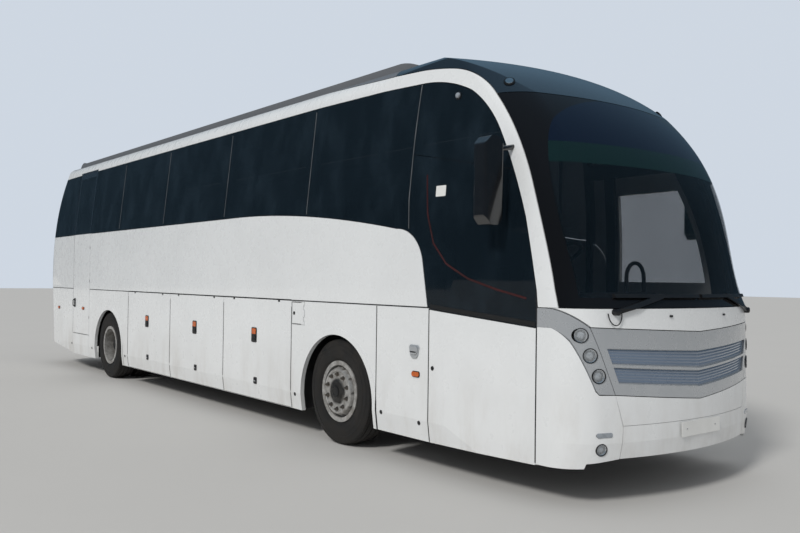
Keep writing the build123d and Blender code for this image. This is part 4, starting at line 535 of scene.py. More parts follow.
def add_disc(bm, place, rings, count=24):
    """Turned fitting on a place: rings are (radius, height) from its foot to its crown."""
    loop = bmesh.ops.create_circle(bm, cap_ends=False, radius=rings[0][0], segments=count,
                                   matrix=shifted(place, 0, 0, rings[0][1]))["verts"]
    edges = list({e for v in loop for e in v.link_edges})
    inverse = place.inverted()
    for (r0, _), (r1, h1) in zip(rings, rings[1:]):
        made = bmesh.ops.extrude_edge_only(bm, edges=edges)["geom"]
        verts = [g for g in made if isinstance(g, bmesh.types.BMVert)]
        edges = [g for g in made if isinstance(g, bmesh.types.BMEdge) and all(v in verts for v in g.verts)]
        for v in verts:
            local = inverse @ v.co
            flat = Vector((local.x, local.y)) * (r1 / r0)
            v.co = place @ Vector((flat.x, flat.y, h1))
    bmesh.ops.contextual_create(bm, geom=edges)


def add_slab(bm, place, width, height_, thick, radius=0.0, segments=4):
    """Rounded plate on a place: width along X, height along Y, thickness along Z."""
    made = bmesh.ops.create_cube(bm, size=1.0)["verts"]
    bmesh.ops.scale(bm, vec=(width, height_, thick), verts=made)
    bmesh.ops.translate(bm, vec=(0, 0, thick / 2), verts=made)
    faces = list({f for v in made for f in v.link_faces})
    if radius:
        upright = [e for e in {e for v in made for e in v.link_edges}
                   if abs((e.verts[0].co - e.verts[1].co).z) > thick * 0.9]
        out = bmesh.ops.bevel(bm, geom=upright, offset=radius, segments=segments, profile=0.5,
                              affect="EDGES", material=-1)
        made = list({v for v in made if v.is_valid} | set(out["verts"]))
    made = list({v for v in made if v.is_valid})
    bmesh.ops.transform(bm, matrix=place, verts=made)
    return made


def add_sweep(bm, path, section, up=(0, 0, 1), closed=False):
    """Section (points in width and height) drawn along a path, with its height along up."""
    rows = []
    count = len(path)
    for i, point in enumerate(path):
        ahead = path[(i + 1) % count] if closed or i + 1 < count else point
        behind = path[i - 1] if closed or i else point
        along = (Vector(ahead) - Vector(behind)).normalized()
        lift = up[i] if isinstance(up, list) else up
        across = along.cross(Vector(lift)).normalized()
        rise = across.cross(along).normalized()
        rows.append([Vector(point) + across * a + rise * b for a, b in section])
    verts = [bm.verts.new(p) for p in rows[0]]
    edges = [bm.edges.new((verts[i], verts[(i + 1) % len(verts)])) for i in range(len(verts))]
    first = list(verts)
    if not closed:
        bmesh.ops.contextual_create(bm, geom=edges)
    for row in rows[1:]:
        made = bmesh.ops.extrude_edge_only(bm, edges=edges)["geom"]
        moved = [g for g in made if isinstance(g, bmesh.types.BMVert)]
        pairs = {v: other for v in moved for e in v.link_edges for other in (e.other_vert(v),)
                 if other in verts}
        order = {pairs[v]: v for v in moved}
        verts = [order[v] for v in verts]
        for v, p in zip(verts, row):
            v.co = p
        edges = [bm.edges.get((verts[i], verts[(i + 1) % len(verts)])) for i in range(len(verts))]
    if closed:
        start = [bm.edges.get((first[i], first[(i + 1) % len(first)])) for i in range(len(first))]
        bmesh.ops.bridge_loops(bm, edges=edges + start)
    else:
        bmesh.ops.contextual_create(bm, geom=edges)
    bmesh.ops.recalc_face_normals(bm, faces=bm.faces)


def circle(radius, count=8):
    """Round section for a sweep."""
    turns = [2 * math.pi * i / count for i in range(count)]
    return [(radius * math.cos(a), radius * math.sin(a)) for a in turns]


def box_section(width, rise, sink=0.0):
    return [(-width / 2, -sink), (width / 2, -sink), (width / 2, rise), (-width / 2, rise)]


# Operators

class COACH_OT_finishes(bpy.types.Operator):
    """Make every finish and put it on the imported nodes"""

    bl_idname = "coach.finishes"
    bl_label = "Finishes"

    def execute(self, context):
        make_finishes(context.scene.coach_colours)
        for finish, names in NODE_FINISH.items():
            for name in names:
                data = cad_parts[name].data
                data.materials.clear()
                data.materials.append(FINISH[finish])
        return {"FINISHED"}


def tyre_section(sizes):
    """Closed section of a tyre as (radius, offset from its middle), grooves included."""
    half = TYRE_W / 2
    depth, width = sizes.groove_depth, sizes.groove_width
    side = [(0.287, half - 0.028), (0.296, half - 0.022), (0.312, half - 0.014), (0.322, half - 0.006),
            (0.328, half - 0.006), (0.335, half - 0.002), (0.372, half), (0.400, half - 0.001),
            (0.404, half - 0.0035), (0.432, half - 0.005), (0.436, half - 0.002), (0.446, half - 0.003),
            (0.450, half - 0.006), (0.472, half - 0.010), (0.490, half - 0.016), (0.499, half - 0.022)]
    crown = []
    for middle in (0.088, 0.030, -0.030, -0.088):
        for offset, drop in ((width / 2, 0.0), (width / 2 - 0.003, depth), (-width / 2 + 0.003, depth),
                             (-width / 2, 0.0)):
            x = middle + offset
            crown.append((TYRE_R - 0.0005 - 0.013 * (x / half) ** 2 - drop, x))
    other = [(r, -x) for r, x in reversed(side)]
    return side + [(TYRE_R - 0.0135, half - 0.024)] + crown + [(TYRE_R - 0.0135, -half + 0.024)] + other


# Blocks on a tyre's shoulders: least radius, span off its middle, least area, width of the cuts
BLOCK_R = 0.492
BLOCK_X = (0.095, 0.14)
BLOCK_AREA = 0.0003
BLOCK_CUT = 0.003


def add_tyre(bm, axle_y, middle_x, sizes, steps=96):
    """Tyre spun about its axle, with cut shoulder blocks."""
    start = [bm.verts.new((middle_x + x, axle_y, HUB_Z + r)) for r, x in tyre_section(sizes)]
    edges = [bm.edges.new((start[i], start[(i + 1) % len(start)])) for i in range(len(start))]
    bmesh.ops.spin(bm, geom=start + edges, cent=(middle_x, axle_y, HUB_Z), axis=(1, 0, 0), dvec=(0, 0, 0),
                   angle=2 * math.pi, steps=steps, use_merge=True, use_duplicate=False)
    bmesh.ops.remove_doubles(bm, verts=bm.verts, dist=1e-6)
    bmesh.ops.recalc_face_normals(bm, faces=bm.faces)
    blocks = []
    for face in bm.faces:
        middle = face.calc_center_median()
        radius = math.hypot(middle.y - axle_y, middle.z - HUB_Z)
        offset = abs(middle.x - middle_x)
        if radius > BLOCK_R and face.calc_area() > BLOCK_AREA and BLOCK_X[0] < offset < BLOCK_X[1]:
            blocks.append(face)
    bmesh.ops.inset_individual(bm, faces=blocks, thickness=BLOCK_CUT, depth=0.0, use_even_offset=True)
    for face in blocks:
        turn = math.atan2(face.calc_center_median().y - axle_y, face.calc_center_median().z - HUB_Z)
        outward = Vector((0, math.sin(turn), math.cos(turn)))
        bmesh.ops.translate(bm, vec=-outward * BLOCK_CUT, verts=face.verts)


WHEELS = (("front", FRONT_AXLE_Y, "front_wheel_", "front_tyre_", (FRONT_FACE_X - TYRE_W / 2,)),
          ("rear", REAR_AXLE_Y, "rear_wheels_", "rear_tyres_",
           (REAR_FACE_X - TYRE_W / 2, REAR_FACE_X - TYRE_W * 1.5 - TWIN_GAP)))


class COACH_OT_tyres(bpy.types.Operator):
    """Tyres with grooved treads and plain side walls"""

    bl_idname = "coach.tyres"
    bl_label = "Tyres"

    def execute(self, context):
        sizes = context.scene.coach_sizes
        for axle, y, body, node, middles in WHEELS:
            for mark, side in SIDES:
                bm = bmesh.new()
                for middle in middles:
                    part = bmesh.new()
                    add_tyre(part, y, side * middle, sizes)
                    mesh = bpy.data.meshes.new("part")
                    part.to_mesh(mesh)
                    part.free()
                    bm.from_mesh(mesh)
                    bpy.data.meshes.remove(mesh)
                piece = as_piece(bm, f"{axle}_tread_{mark}", "tyre", body=body + mark, smooth=28)
                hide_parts(node + mark)
        return {"FINISHED"}


# Faces of the rims that the nuts sit on, and face and radius of the hub caps
FRONT_NUT_X = 1.214
REAR_NUT_X = 0.940
FRONT_CAP = (1.238, 0.060)
REAR_CAP = (1.130, 0.078)
# Valve stems: offset from the nuts' face and radius from the axle
VALVE_STEM = {"front": ((-0.064, 0.236), (-0.040, 0.235), (-0.014, 0.232)),
              "rear": ((-0.045, 0.245), (-0.020, 0.243), (0.004, 0.232))}


def round_axle(side, x, y, radius=0.0, turn=0.0):
    """Place on a wheel, off its axle by radius and turn: Z runs outwards along the axle."""
    at = Vector((side * x, y + radius * math.cos(turn), HUB_Z + radius * math.sin(turn)))
    return standing(at, Vector((side, 0, 0)))


# Washer and nut: sides, then (share of the nut's size, height); the stud's end in metres
NUT_PARTS = ((18, ((1.35, 0.0), (1.35, 0.003), (1.1, 0.004))),
             (6, ((1.0, 0.003), (1.0, 0.018), (0.82, 0.021))))
STUD_END = (((0.0105, 0.019), (0.0105, 0.032), (0.0085, 0.034)), 10)
CAP_SCREWS = 8
CAP_SCREW = ((0.006, 0.0), (0.006, 0.003))


def add_nut(bm, place, size):
    """Hexagon nut on its washer, with the stud's end."""
    for count, rings in NUT_PARTS:
        add_disc(bm, place, [(size * share, rise) for share, rise in rings], count)
    add_disc(bm, place, *STUD_END)


class COACH_OT_wheel_fittings(bpy.types.Operator):
    """Wheel nuts, hub caps with their screws, valves"""

    bl_idname = "coach.wheel_fittings"
    bl_label = "Wheel fittings"

    def execute(self, context):
        sizes = context.scene.coach_sizes
        rows = (("front", "front_wheel_", FRONT_AXLE_Y, FRONT_NUT_X, FRONT_CAP),
                ("rear", "rear_wheels_", REAR_AXLE_Y, REAR_NUT_X, REAR_CAP))
        for axle, body, y, nut_x, (cap_x, cap_r) in rows:
            for mark, side in SIDES:
                nuts = bmesh.new()
                for i in range(sizes.wheel_nuts):
                    turn = 2 * math.pi * (i + 0.5) / sizes.wheel_nuts
                    place = round_axle(side, nut_x, y, sizes.nut_circle, turn)
                    add_nut(nuts, place, sizes.nut_size)
                as_piece(nuts, f"{axle}_wheel_nuts_{mark}", "nuts", body=body + mark)
                cap = bmesh.new()
                add_disc(cap, round_axle(side, cap_x, y),
                         ((cap_r, 0.0), (cap_r, 0.004), (cap_r - 0.006, 0.006), (cap_r * 0.6, 0.007),
                          (cap_r * 0.55, 0.0045), (cap_r * 0.2, 0.005)), 40)
                for i in range(CAP_SCREWS):
                    turn = 2 * math.pi * i / CAP_SCREWS
                    place = round_axle(side, cap_x + 0.0055, y, cap_r * 0.82, turn)
                    add_disc(cap, place, CAP_SCREW, 6)
                as_piece(cap, f"{axle}_hub_cap_{mark}", "hub", body=body + mark)
                valve = bmesh.new()
                stem = [(side * (nut_x + dx), y, HUB_Z + r) for dx, r in VALVE_STEM[axle]]
                add_sweep(valve, stem, circle(0.004))
                as_piece(valve, f"{axle}_valve_{mark}", "bright", body=body + mark, slot="rim")
        return {"FINISHED"}


# Side fittings. Stations and heights measured in the photo's fitted camera.

PANELS = SIDE_PANELS + ("emergency_door", "headlamp_panels")


def samples(points, step):
    """Points of a broken line at most a step apart, each with its direction."""
    found = []
    for a, b in zip(points, points[1:]):
        a, b = Vector(a), Vector(b)
        count = max(1, math.ceil((b - a).length / step))
        found += [(a.lerp(b, i / count), (b - a).normalized()) for i in range(count)]
    return found + [(Vector(points[-1]), found[-1][1])]


def seam_path(skin, side, points, offset, step):
    """Places along a line on the side, taken a little to each side of it, with outward normals."""
    places, normals = [], []
    for point, ahead in samples(points, step):
        across = Vector((-ahead.y, ahead.x))
        middle = point + across * offset
        hits = []
        for shift in (0.007, -0.007):
            at = middle + across * shift
            try:
                hits.append(on_side(skin, side, at.x, at.y))
            except ValueError:
                continue
        if hits:
            x = sum(h.x for h, _ in hits) / len(hits)
            places.append(Vector((x, middle.x, middle.y)))
            normals.append(sum((n for _, n in hits), Vector()).normalized())
    return places, normals


def add_strip(bm, skin, side, points, width, offset=0.0, rise=0.0008, sink=0.001, step=0.06):
    """Flat rubber strip along a line on the side."""
    places, normals = seam_path(skin, side, points, offset, step)
    if len(places) > 1:
        add_sweep(bm, places, box_section(width, rise, sink), up=normals)


# Seams between fixed panels, on both sides: (station, height) from one end to the other
FIXED_SEAMS = (((-4.595, 0.252), (-4.595, 1.358)), ((-3.875, 0.252), (-3.875, 1.358)),
               ((-4.588, SEAM_Z), (-2.412, SEAM_Z)), ((-5.733, 0.285), (-5.733, 1.520)))
REAR_SEAMS = {"right": (((2.262, SEAM_Z), (4.015, SEAM_Z)), ((4.885, SEAM_Z), (6.165, SEAM_Z))),
              "left": (((2.262, SEAM_Z), (6.165, SEAM_Z)),)}
TAIL_SEAM = ((6.060, 0.43), (6.180, SEAM_Z), (6.150, 2.27))
OVER_LOCKERS = ((-2.40, SEAM_Z), (2.25, SEAM_Z))


class COACH_OT_seams(bpy.types.Operator):
    """Dark rubber in the seams between the fixed panels"""

    bl_idname = "coach.seams"
    bl_label = "Panel seams"

    def execute(self, context):
        skin = skin_of(*PANELS)
        wide = context.scene.coach_sizes.seam_width
        for mark, side in SIDES:
            bm = bmesh.new()
            for points in FIXED_SEAMS + REAR_SEAMS[mark] + (TAIL_SEAM,):
                add_strip(bm, skin, side, points, wide, sink=0.006)
            add_strip(bm, skin, side, OVER_LOCKERS, wide / 2, 0.003 + wide / 4)
            for y, inward in ((LOCKER_SEAMS[0], 1), (LOCKER_SEAMS[3], -1)):
                add_strip(bm, skin, side, ((y, 0.262), (y, 1.355)), wide / 3, inward * (0.003 + wide / 6))
            as_piece(bm, f"panel_seams_{mark}", "rubber")
        return {"FINISHED"}


def edges_below(y0, y1, z0, z1):
    """Outline of a door hinged at its top, open along the hinge."""
    top = z1 - HINGE_CLEAR
    return [(y0, top), (y0, z0), (y1, z0), (y1, top)]


def edges_behind(y0, y1, z0, z1):
    """Outline of a door hinged at its front edge, open along the hinge."""
    front = y0 + HINGE_CLEAR
    return [(front, z0), (y1, z0), (y1, z1), (front, z1)]


def door_edges(node, side, outline, width):
    """Rubber edging round a door or flap, on the door itself."""
    bm = bmesh.new()
    skin = skin_of(node)
    places, normals = [], []
    for point, _ in samples(outline, 0.05):
        try:
            hit, out = on_side(skin, side, point.x, point.y)
        except ValueError:      # over a hinge's notch the rubber runs on level
            hit, out = places[-1], normals[-1]
        places.append(Vector((hit.x, point.x, point.y)))
        normals.append(out)
    add_sweep(bm, places, box_section(width, 0.0008, 0.001), up=normals)
    as_piece(bm, f"{node}_edging", "rubber", body=node)


HINGE_CLEAR = 0.050      # the edging of a door ends this far from its hinged edge
DOOR_GAP = 0.0035        # from a door's seam to its edge
LOCKER_SPAN = (0.250, 1.355)
# Outlines as front, rear, foot and top: emergency door, and the middle line of the flap's rubber
EXIT_OUTLINE = (4.028, 4.875, 0.605, 3.340)
FLAP_SPAN = (-2.6450, -2.4125, 1.1265, 1.3475)


class COACH_OT_door_edging(bpy.types.Operator):
    """Rubber edging on the hold doors, the emergency door and the fuel flap"""

    bl_idname = "coach.door_edging"
    bl_label = "Door edging"

    def execute(self, context):
        wide = context.scene.coach_sizes.edging_width
        inset = DOOR_GAP + wide / 2
        z0, z1 = LOCKER_SPAN
        for mark, side in SIDES:
            for number, (y0, y1) in enumerate(zip(LOCKER_SEAMS, LOCKER_SEAMS[1:]), 1):
                outline = edges_below(y0 + inset, y1 - inset, z0 + inset, z1 - inset)
                door_edges(f"locker_door_{mark}_{number}", side, outline, wide)
        y0, y1, z0, z1 = EXIT_OUTLINE
        outline = edges_behind(y0 + inset, y1 - inset, z0 + inset, z1 - inset)
        door_edges("emergency_door", -1, outline, wide)
        door_edges("fuel_flap", -1, edges_behind(*FLAP_SPAN), wide * 1.5)
        return {"FINISHED"}


def glazed(skin, side, y, z):
    """Whether there is glass on both sides of a seam at a height."""
    for shift in (-0.012, 0.012):
        hit = skin.ray_cast(Vector((side * CLEAR_X, y + shift, z)), Vector((-side, 0, 0)))[0]
        if hit is None or hit.x * side < SIDE_X:
            return False
    return True


class COACH_OT_window_seals(bpy.types.Operator):
    """Seals in the gaps between the side panes"""

    bl_idname = "coach.window_seals"
    bl_label = "Window seals"

    def execute(self, context):
        width = context.scene.coach_sizes.seal_width
        skin = skin_of("side_glass")
        for mark, side in SIDES:
            bm = bmesh.new()
            for y in WINDOW_SEAMS:
                heights = [z for z in (1.3 + 0.035 * i for i in range(60)) if glazed(skin, side, y, z)]
                if len(heights) > 2:
                    add_strip(bm, skin, side, ((y, heights[0]), (y, heights[-1])), width, rise=0.002,
                              sink=0.006)
            as_piece(bm, f"pane_seals_{mark}", "seal")
        return {"FINISHED"}


# Hold door fittings: handle height, latch height, then door number and station of the handle
HANDLE_Z = 0.96
LATCH_Z = 0.456
LOCKER_HANDLES = ((1, -1.611), (2, -0.059), (3, 1.514))
# Small fittings on fixed panels, on both sides: station, height
PANEL_LOCKS = ((4.902, 0.418), (3.853, 0.409), (2.362, 0.399), (-2.490, 0.404), (-3.955, 0.416),
               (-4.477, 0.394), (-4.645, 0.868))
SIDE_MARKERS = ((4.325, 1.04), (5.685, 1.013))
REPEATER = (-4.435, 0.80)
SHIELD = (-4.415, 0.99)
PILLAR_LAMP = (-4.788, 3.117)
# On the right: handle of the emergency door, with its plate and its bail (width, reach, radius),
# and lock of the fuel flap
EXIT_HANDLE = (4.775, 1.125)
EXIT_PLATE = (0.075, 0.150, 0.006, 0.020)
EXIT_BAIL = (0.115, 0.030, 0.008)
FLAP_LOCK = (-2.455, 1.235)
# Plates of the fittings: (x, y, z) of the foot on its place, then width, height, thickness and
# corner radius. A handle is its bezel, the paddle and the paddle's lip.
HANDLE_PLATES = (((0, 0, 0), (0.118, 0.165, 0.006, 0.020)),
                 ((0, -0.036, 0.005), (0.088, 0.058, 0.006, 0.010)),
                 ((0, -0.046, 0.010), (0.080, 0.020, 0.004, 0.006)))
HANDLE_MARKER = (((0, 0.040, 0.004), (0.092, 0.062, 0.006, 0.010)),)
LATCH_PLATE = (((0, 0, 0), (0.074, 0.074, 0.005, 0.014)),)
LATCH_LEVER = (((0, -0.002, 0.010), (0.050, 0.014, 0.004, 0.006)),)
LATCH_ASIDE = 0.04               # from the handle's station forwards
LOCK_SLOT = (((0, 0, 0.003), (0.016, 0.003, 0.0015, 0.001)),)
MARKER_BASE = (((0, 0, 0), (0.104, 0.052, 0.005, 0.020)),)
MARKER_LENS = (((0, 0, 0.004), (0.092, 0.040, 0.011, 0.016)),)
SHIELD_PLATES = (((0, 0, 0), (0.135, 0.112, 0.012, 0.030, 6)),
                 ((0, 0.010, 0.011), (0.112, 0.072, 0.010, 0.024, 6)))
SHIELD_BAR = (((0, -0.004, 0.019), (0.080, 0.012, 0.003, 0.005)),)
SHIELD_TAPER = (0.056, 0.55)     # half its height, and its foot's share of the width
# Turned fittings: sides, then (radius, height) from foot to crown
LATCH_BARREL = (20, ((0.020, 0.0), (0.020, 0.004), (0.016, 0.006), (0.007, 0.006), (0.006, 0.004)))
LOCK_BARREL = (20, ((0.019, 0.0), (0.019, 0.002), (0.015, 0.004), (0.013, 0.003), (0.005, 0.003)))
PILLAR_RING = (28, ((0.034, 0.0), (0.034, 0.006), (0.028, 0.010), (0.024, 0.008)))
PILLAR_LENS = (28, ((0.025, 0.0), (0.024, 0.010), (0.018, 0.018), (0.008, 0.022)))


def add_plates(bm, place, plates):
    for foot, size in plates:
        add_slab(bm, shifted(place, *foot), *size)


def add_turned(bm, place, fitting, lift=0.0):
    count, rings = fitting
    add_disc(bm, shifted(place, 0, 0, lift), rings, count)


def add_lock(bm, place):
    """Round panel lock with its slot."""
    add_turned(bm, place, LOCK_BARREL)
    add_plates(bm, place, LOCK_SLOT)


class COACH_OT_locker_fittings(bpy.types.Operator):
    """Handles with their markers and latches on the hold doors"""

    bl_idname = "coach.locker_fittings"
    bl_label = "Hold door fittings"

    def execute(self, context):
        for mark, side in SIDES:
            for number, y in LOCKER_HANDLES:
                node = f"locker_door_{mark}_{number}"
                skin = skin_of(node)
                place = side_place(skin, side, y, HANDLE_Z)
                bezel = bmesh.new()
                add_plates(bezel, place, HANDLE_PLATES)
                as_piece(bezel, f"locker_handle_{mark}_{number}", "plastic", 0.002, body=node)
                window = bmesh.new()
                add_plates(window, place, HANDLE_MARKER)
                as_piece(window, f"locker_marker_{mark}_{number}", "amber", 0.002, body=node)
                latch = bmesh.new()
                low = side_place(skin, side, y - LATCH_ASIDE, LATCH_Z)
                add_plates(latch, low, LATCH_PLATE)
                add_turned(latch, low, LATCH_BARREL, 0.004)
                as_piece(latch, f"locker_latch_{mark}_{number}", "plastic", 0.0015, body=node)
                lever = bmesh.new()
                add_plates(lever, low, LATCH_LEVER)
                as_piece(lever, f"locker_lever_{mark}_{number}", "bright", 0.001, body=node)
        return {"FINISHED"}


def tapered(bm, place, half, foot):
    """Narrow a fitting towards its lower edge, to the foot's share of its width."""
    back = place.inverted()
    for vert in bm.verts:
        at = back @ vert.co
        share = min(max((at.y + half) / (2 * half), 0.0), 1.0)
        vert.co = place @ Vector((at.x * (foot + (1 - foot) * share ** 0.6), at.y, at.z))


class COACH_OT_side_lamps(bpy.types.Operator):
    """Side markers, repeaters, shields, pillar lamps and panel locks"""

    bl_idname = "coach.side_lamps"
    bl_label = "Side lamps and locks"

    def execute(self, context):
        skin = skin_of(*PANELS, "side_glass", "roof_panel")
        for mark, side in SIDES:
            locks, bases, ambers, clears, shields = (bmesh.new() for _ in range(5))
            for y, z in PANEL_LOCKS:
                add_lock(locks, side_place(skin, side, y, z))
            for y, z in SIDE_MARKERS + (REPEATER,):
                place = side_place(skin, side, y, z)
                add_plates(bases, place, MARKER_BASE)
                add_plates(ambers, place, MARKER_LENS)
            place = side_place(skin, side, *SHIELD)
            add_plates(shields, place, SHIELD_PLATES)
            tapered(shields, place, *SHIELD_TAPER)
            add_plates(bases, place, SHIELD_BAR)
            place = side_place(skin, side, *PILLAR_LAMP)
            add_turned(bases, place, PILLAR_RING)
            add_turned(clears, place, PILLAR_LENS, 0.006)
            as_piece(locks, f"panel_locks_{mark}", "plastic")
            as_piece(bases, f"side_lamp_bases_{mark}", "plastic", 0.0015)
            as_piece(ambers, f"side_markers_{mark}", "amber", 0.003)
            as_piece(shields, f"side_lamp_shields_{mark}", "silver", 0.003)
            as_piece(clears, f"side_clear_lamps_{mark}", "eye", 0.003)
        return {"FINISHED"}


def add_bail(bm, place, width, reach, radius):
    """Round bar bent into a bail handle, its feet on the place."""
    half, bend = width / 2, reach * 0.8
    path = [(-half, 0.0, -0.004)]
    path += [(-half + bend * (1 - math.cos(a)), 0.0, reach - bend + bend * math.sin(a))
             for a in (i * math.pi / 10 for i in range(6))]
    path += [(-x, y, z) for x, y, z in reversed(path)]
    up = place.to_3x3() @ Vector((0, 1, 0))
    add_sweep(bm, [place @ Vector(p) for p in path], circle(radius), up=up)


def add_grab(bm, place, plate, bail):
    """Upright grab handle: a bail (width, reach, radius) on a rounded plate."""
    add_slab(bm, place, *plate)
    add_bail(bm, shifted(place @ QUARTER_Z, 0, 0, 0.004), *bail)


class COACH_OT_exit_fittings(bpy.types.Operator):
    """Emergency door handle and the fuel flap's lock"""

    bl_idname = "coach.exit_fittings"
    bl_label = "Emergency door and flap fittings"

    def execute(self, context):
        place = side_place(skin_of("emergency_door"), -1, *EXIT_HANDLE)
        handle = bmesh.new()
        add_grab(handle, place, EXIT_PLATE, EXIT_BAIL)
        as_piece(handle, "emergency_door_handle", "plastic", 0.0015, body="emergency_door")
        lock = bmesh.new()
        add_lock(lock, side_place(skin_of("fuel_flap"), -1, *FLAP_LOCK))
        as_piece(lock, "fuel_flap_lock", "plastic", body="fuel_flap")
        return {"FINISHED"}


# Seats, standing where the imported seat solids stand
SEAT_PITCH = 0.79
SEAT_FIRST_Y = -3.9
SEAT_ROWS = 12
SEAT_X = (0.455, 0.905)          # middles of the two seats of a pair, from the centre line
SEAT_W = 0.43
CUSHION = (SEAT_W, 0.47, 0.12)
BACK = (SEAT_W, 0.64, 0.095)
HEADREST = (0.30, 0.15, 0.06)
CHANNELS = (-0.5, 0.5)           # sewn channels, as shares of half the width
SEAT_PAN = (SEAT_W * 0.96, 0.43, 0.03, 0.03)
SEAT_SHELL = (SEAT_W * 0.98, 0.66, 0.018, 0.06)
SEAT_LEG = (0.035, 0.20, 0.302, 0.008)
GRAB_LINE = ((-0.05, 0.29), (-0.045, 0.345), (0.045, 0.345), (0.05, 0.29))
SALOON_Z = 1.4203
CAB_Z = 1.0003
EXIT_SPAN = (4.025, 4.875)
DRIVER_X = -0.66
DRIVER_Y = -5.05
BACK_RAKE = math.radians(13.4)


def seat_places():
    """Places of all seats as (middle x, station y, floor height, side of the aisle)."""
    rows = [(DRIVER_X, DRIVER_Y, CAB_Z, 0)]
    for row in range(SEAT_ROWS):
        y = SEAT_FIRST_Y + row * SEAT_PITCH
        for _, side in SIDES:
            if side < 0 and y + 0.64 > EXIT_SPAN[0] - 0.06 and y < EXIT_SPAN[1]:
                continue
            rows += [(side * x, y, SALOON_Z, side) for x in SEAT_X]
    return rows


def back_place(x, y, z):
    """Middle of a seat back: Y up along the back, Z forwards out of it."""
    up = Vector((0, math.sin(BACK_RAKE), math.cos(BACK_RAKE)))
    out = Vector((1, 0, 0)).cross(up)
    turn = Matrix((Vector((1, 0, 0)), up, out)).transposed().to_4x4()
    return Matrix.Translation((x, y + 0.522, z + 0.765)) @ turn


def cushion_place(x, y, z):
    return Matrix.Translation((x, y + 0.235, z + 0.395)) @ Matrix.Rotation(math.radians(4), 4, "X")


def add_pad(bm, place, size, crown, cuts, channels=()):
    """Upholstered block: crowned face, sides that pull in between the corners, sewn channels."""
    verts = bmesh.ops.create_cube(bm, size=2.0)["verts"]
    edges = list({e for v in verts for e in v.link_edges})
    made = bmesh.ops.subdivide_edges(bm, edges=edges, cuts=cuts, use_grid_fill=True)
    verts = list({v for f in made["geom"] if isinstance(f, bmesh.types.BMFace) for v in f.verts})
    w, d, h = (s / 2 for s in size)
    for v in verts:
        x, y, z = v.co
        swell = (1 - x ** 4) * (1 - y ** 4)
        sewn = sum(math.exp(-((x - c) / 0.13) ** 2) for c in channels) * 0.35
        waist = 1 - 0.035 * (1 - z * z)
        ease = 1 - 0.16 * (abs(x * y)) ** 3 - 0.03 * abs(z) ** 3
        rise = crown * swell * (1 - sewn) if z > 0 else 0.25 * crown * swell * -1
        edge = 1 - 0.22 * max(abs(x), abs(y)) ** 8
        v.co = place @ Vector((x * w * ease * waist, y * d * ease * waist, z * h * edge + rise * abs(z)))
    return verts


def add_seat_frame(bm, x, y, z, side):
    """Hard parts of one seat: pan, back shell, legs and the grab handle at the aisle corner."""
    add_slab(bm, Matrix.Translation((x, y + 0.25, z + 0.300)), *SEAT_PAN)
    add_slab(bm, shifted(back_place(x, y, z), 0, -0.02, -0.068), *SEAT_SHELL)
    for offset in (-0.12, 0.12):
        add_slab(bm, Matrix.Translation((x + offset, y + 0.24, z)), *SEAT_LEG)
    handle_x = x - side * SEAT_W * 0.36
    top = back_place(handle_x, y, z)
    path = [top @ Vector((across, along, -0.03)) for across, along in GRAB_LINE]
    add_sweep(bm, path, circle(0.011), up=(0, 1, 0))


class COACH_OT_seats(bpy.types.Operator):
    """Padded seat cushions and backs on their frames"""

    bl_idname = "coach.seats"
    bl_label = "Seats"

    def execute(self, context):
        cushions, backs, rests, frames = (bmesh.new() for _ in range(4))
        for x, y, z, side in seat_places():
            back = back_place(x, y, z)
            add_pad(cushions, cushion_place(x, y, z), CUSHION, 0.018, 5, CHANNELS)
            add_pad(backs, back, BACK, 0.016, 5, CHANNELS)
            add_pad(rests, shifted(back, 0, 0.235, 0.045), HEADREST, 0.010, 3)
            add_seat_frame(frames, x, y, z, side or 1)
        for bm, name in ((cushions, "seat_cushions"), (backs, "seat_backs"), (rests, "seat_headrests")):
            bmesh.ops.recalc_face_normals(bm, faces=bm.faces)
            piece = as_piece(bm, name, "cloth", smooth=80, subdivide=1)
            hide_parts("seats")
        as_piece(frames, "seat_frames", "trim", 0.002)
        return {"FINISHED"}


# Lamps in the front: x, height and radius; the strip has x, height, half width and half height
HEAD_LAMPS = ((1.100, 1.219, 0.049), (1.050, 1.078, 0.049), (0.995, 0.934, 0.049))
FOG_LAMP = (0.975, 0.418, 0.041)
STRIP_LAMP = (0.954, 0.520, 0.062, 0.015)
LAMP_SINK = 0.004       # how far they are let into the lamp's face
STRIP_SINK = 0.012


# Turned parts of a lamp: sides, then (share of the radius, height) from foot to crown
LAMP_PARTS = {
    "bezels": (36, ((1.10, -0.004), (1.10, 0.002), (1.06, 0.005), (0.99, 0.004), (0.95, -0.006),
                    (0.95, -0.034))),
    "bowls": (32, ((0.98, -0.004), (0.90, -0.006), (0.80, -0.014), (0.62, -0.028), (0.40, -0.036))),
    "projectors": (32, ((0.58, -0.030), (0.56, -0.016), (0.48, -0.010), (0.30, -0.005), (0.10, -0.003))),
    "lenses": (36, ((0.96, -0.004), (0.94, 0.0015), (0.80, 0.004), (0.50, 0.0065), (0.15, 0.0075))),
}


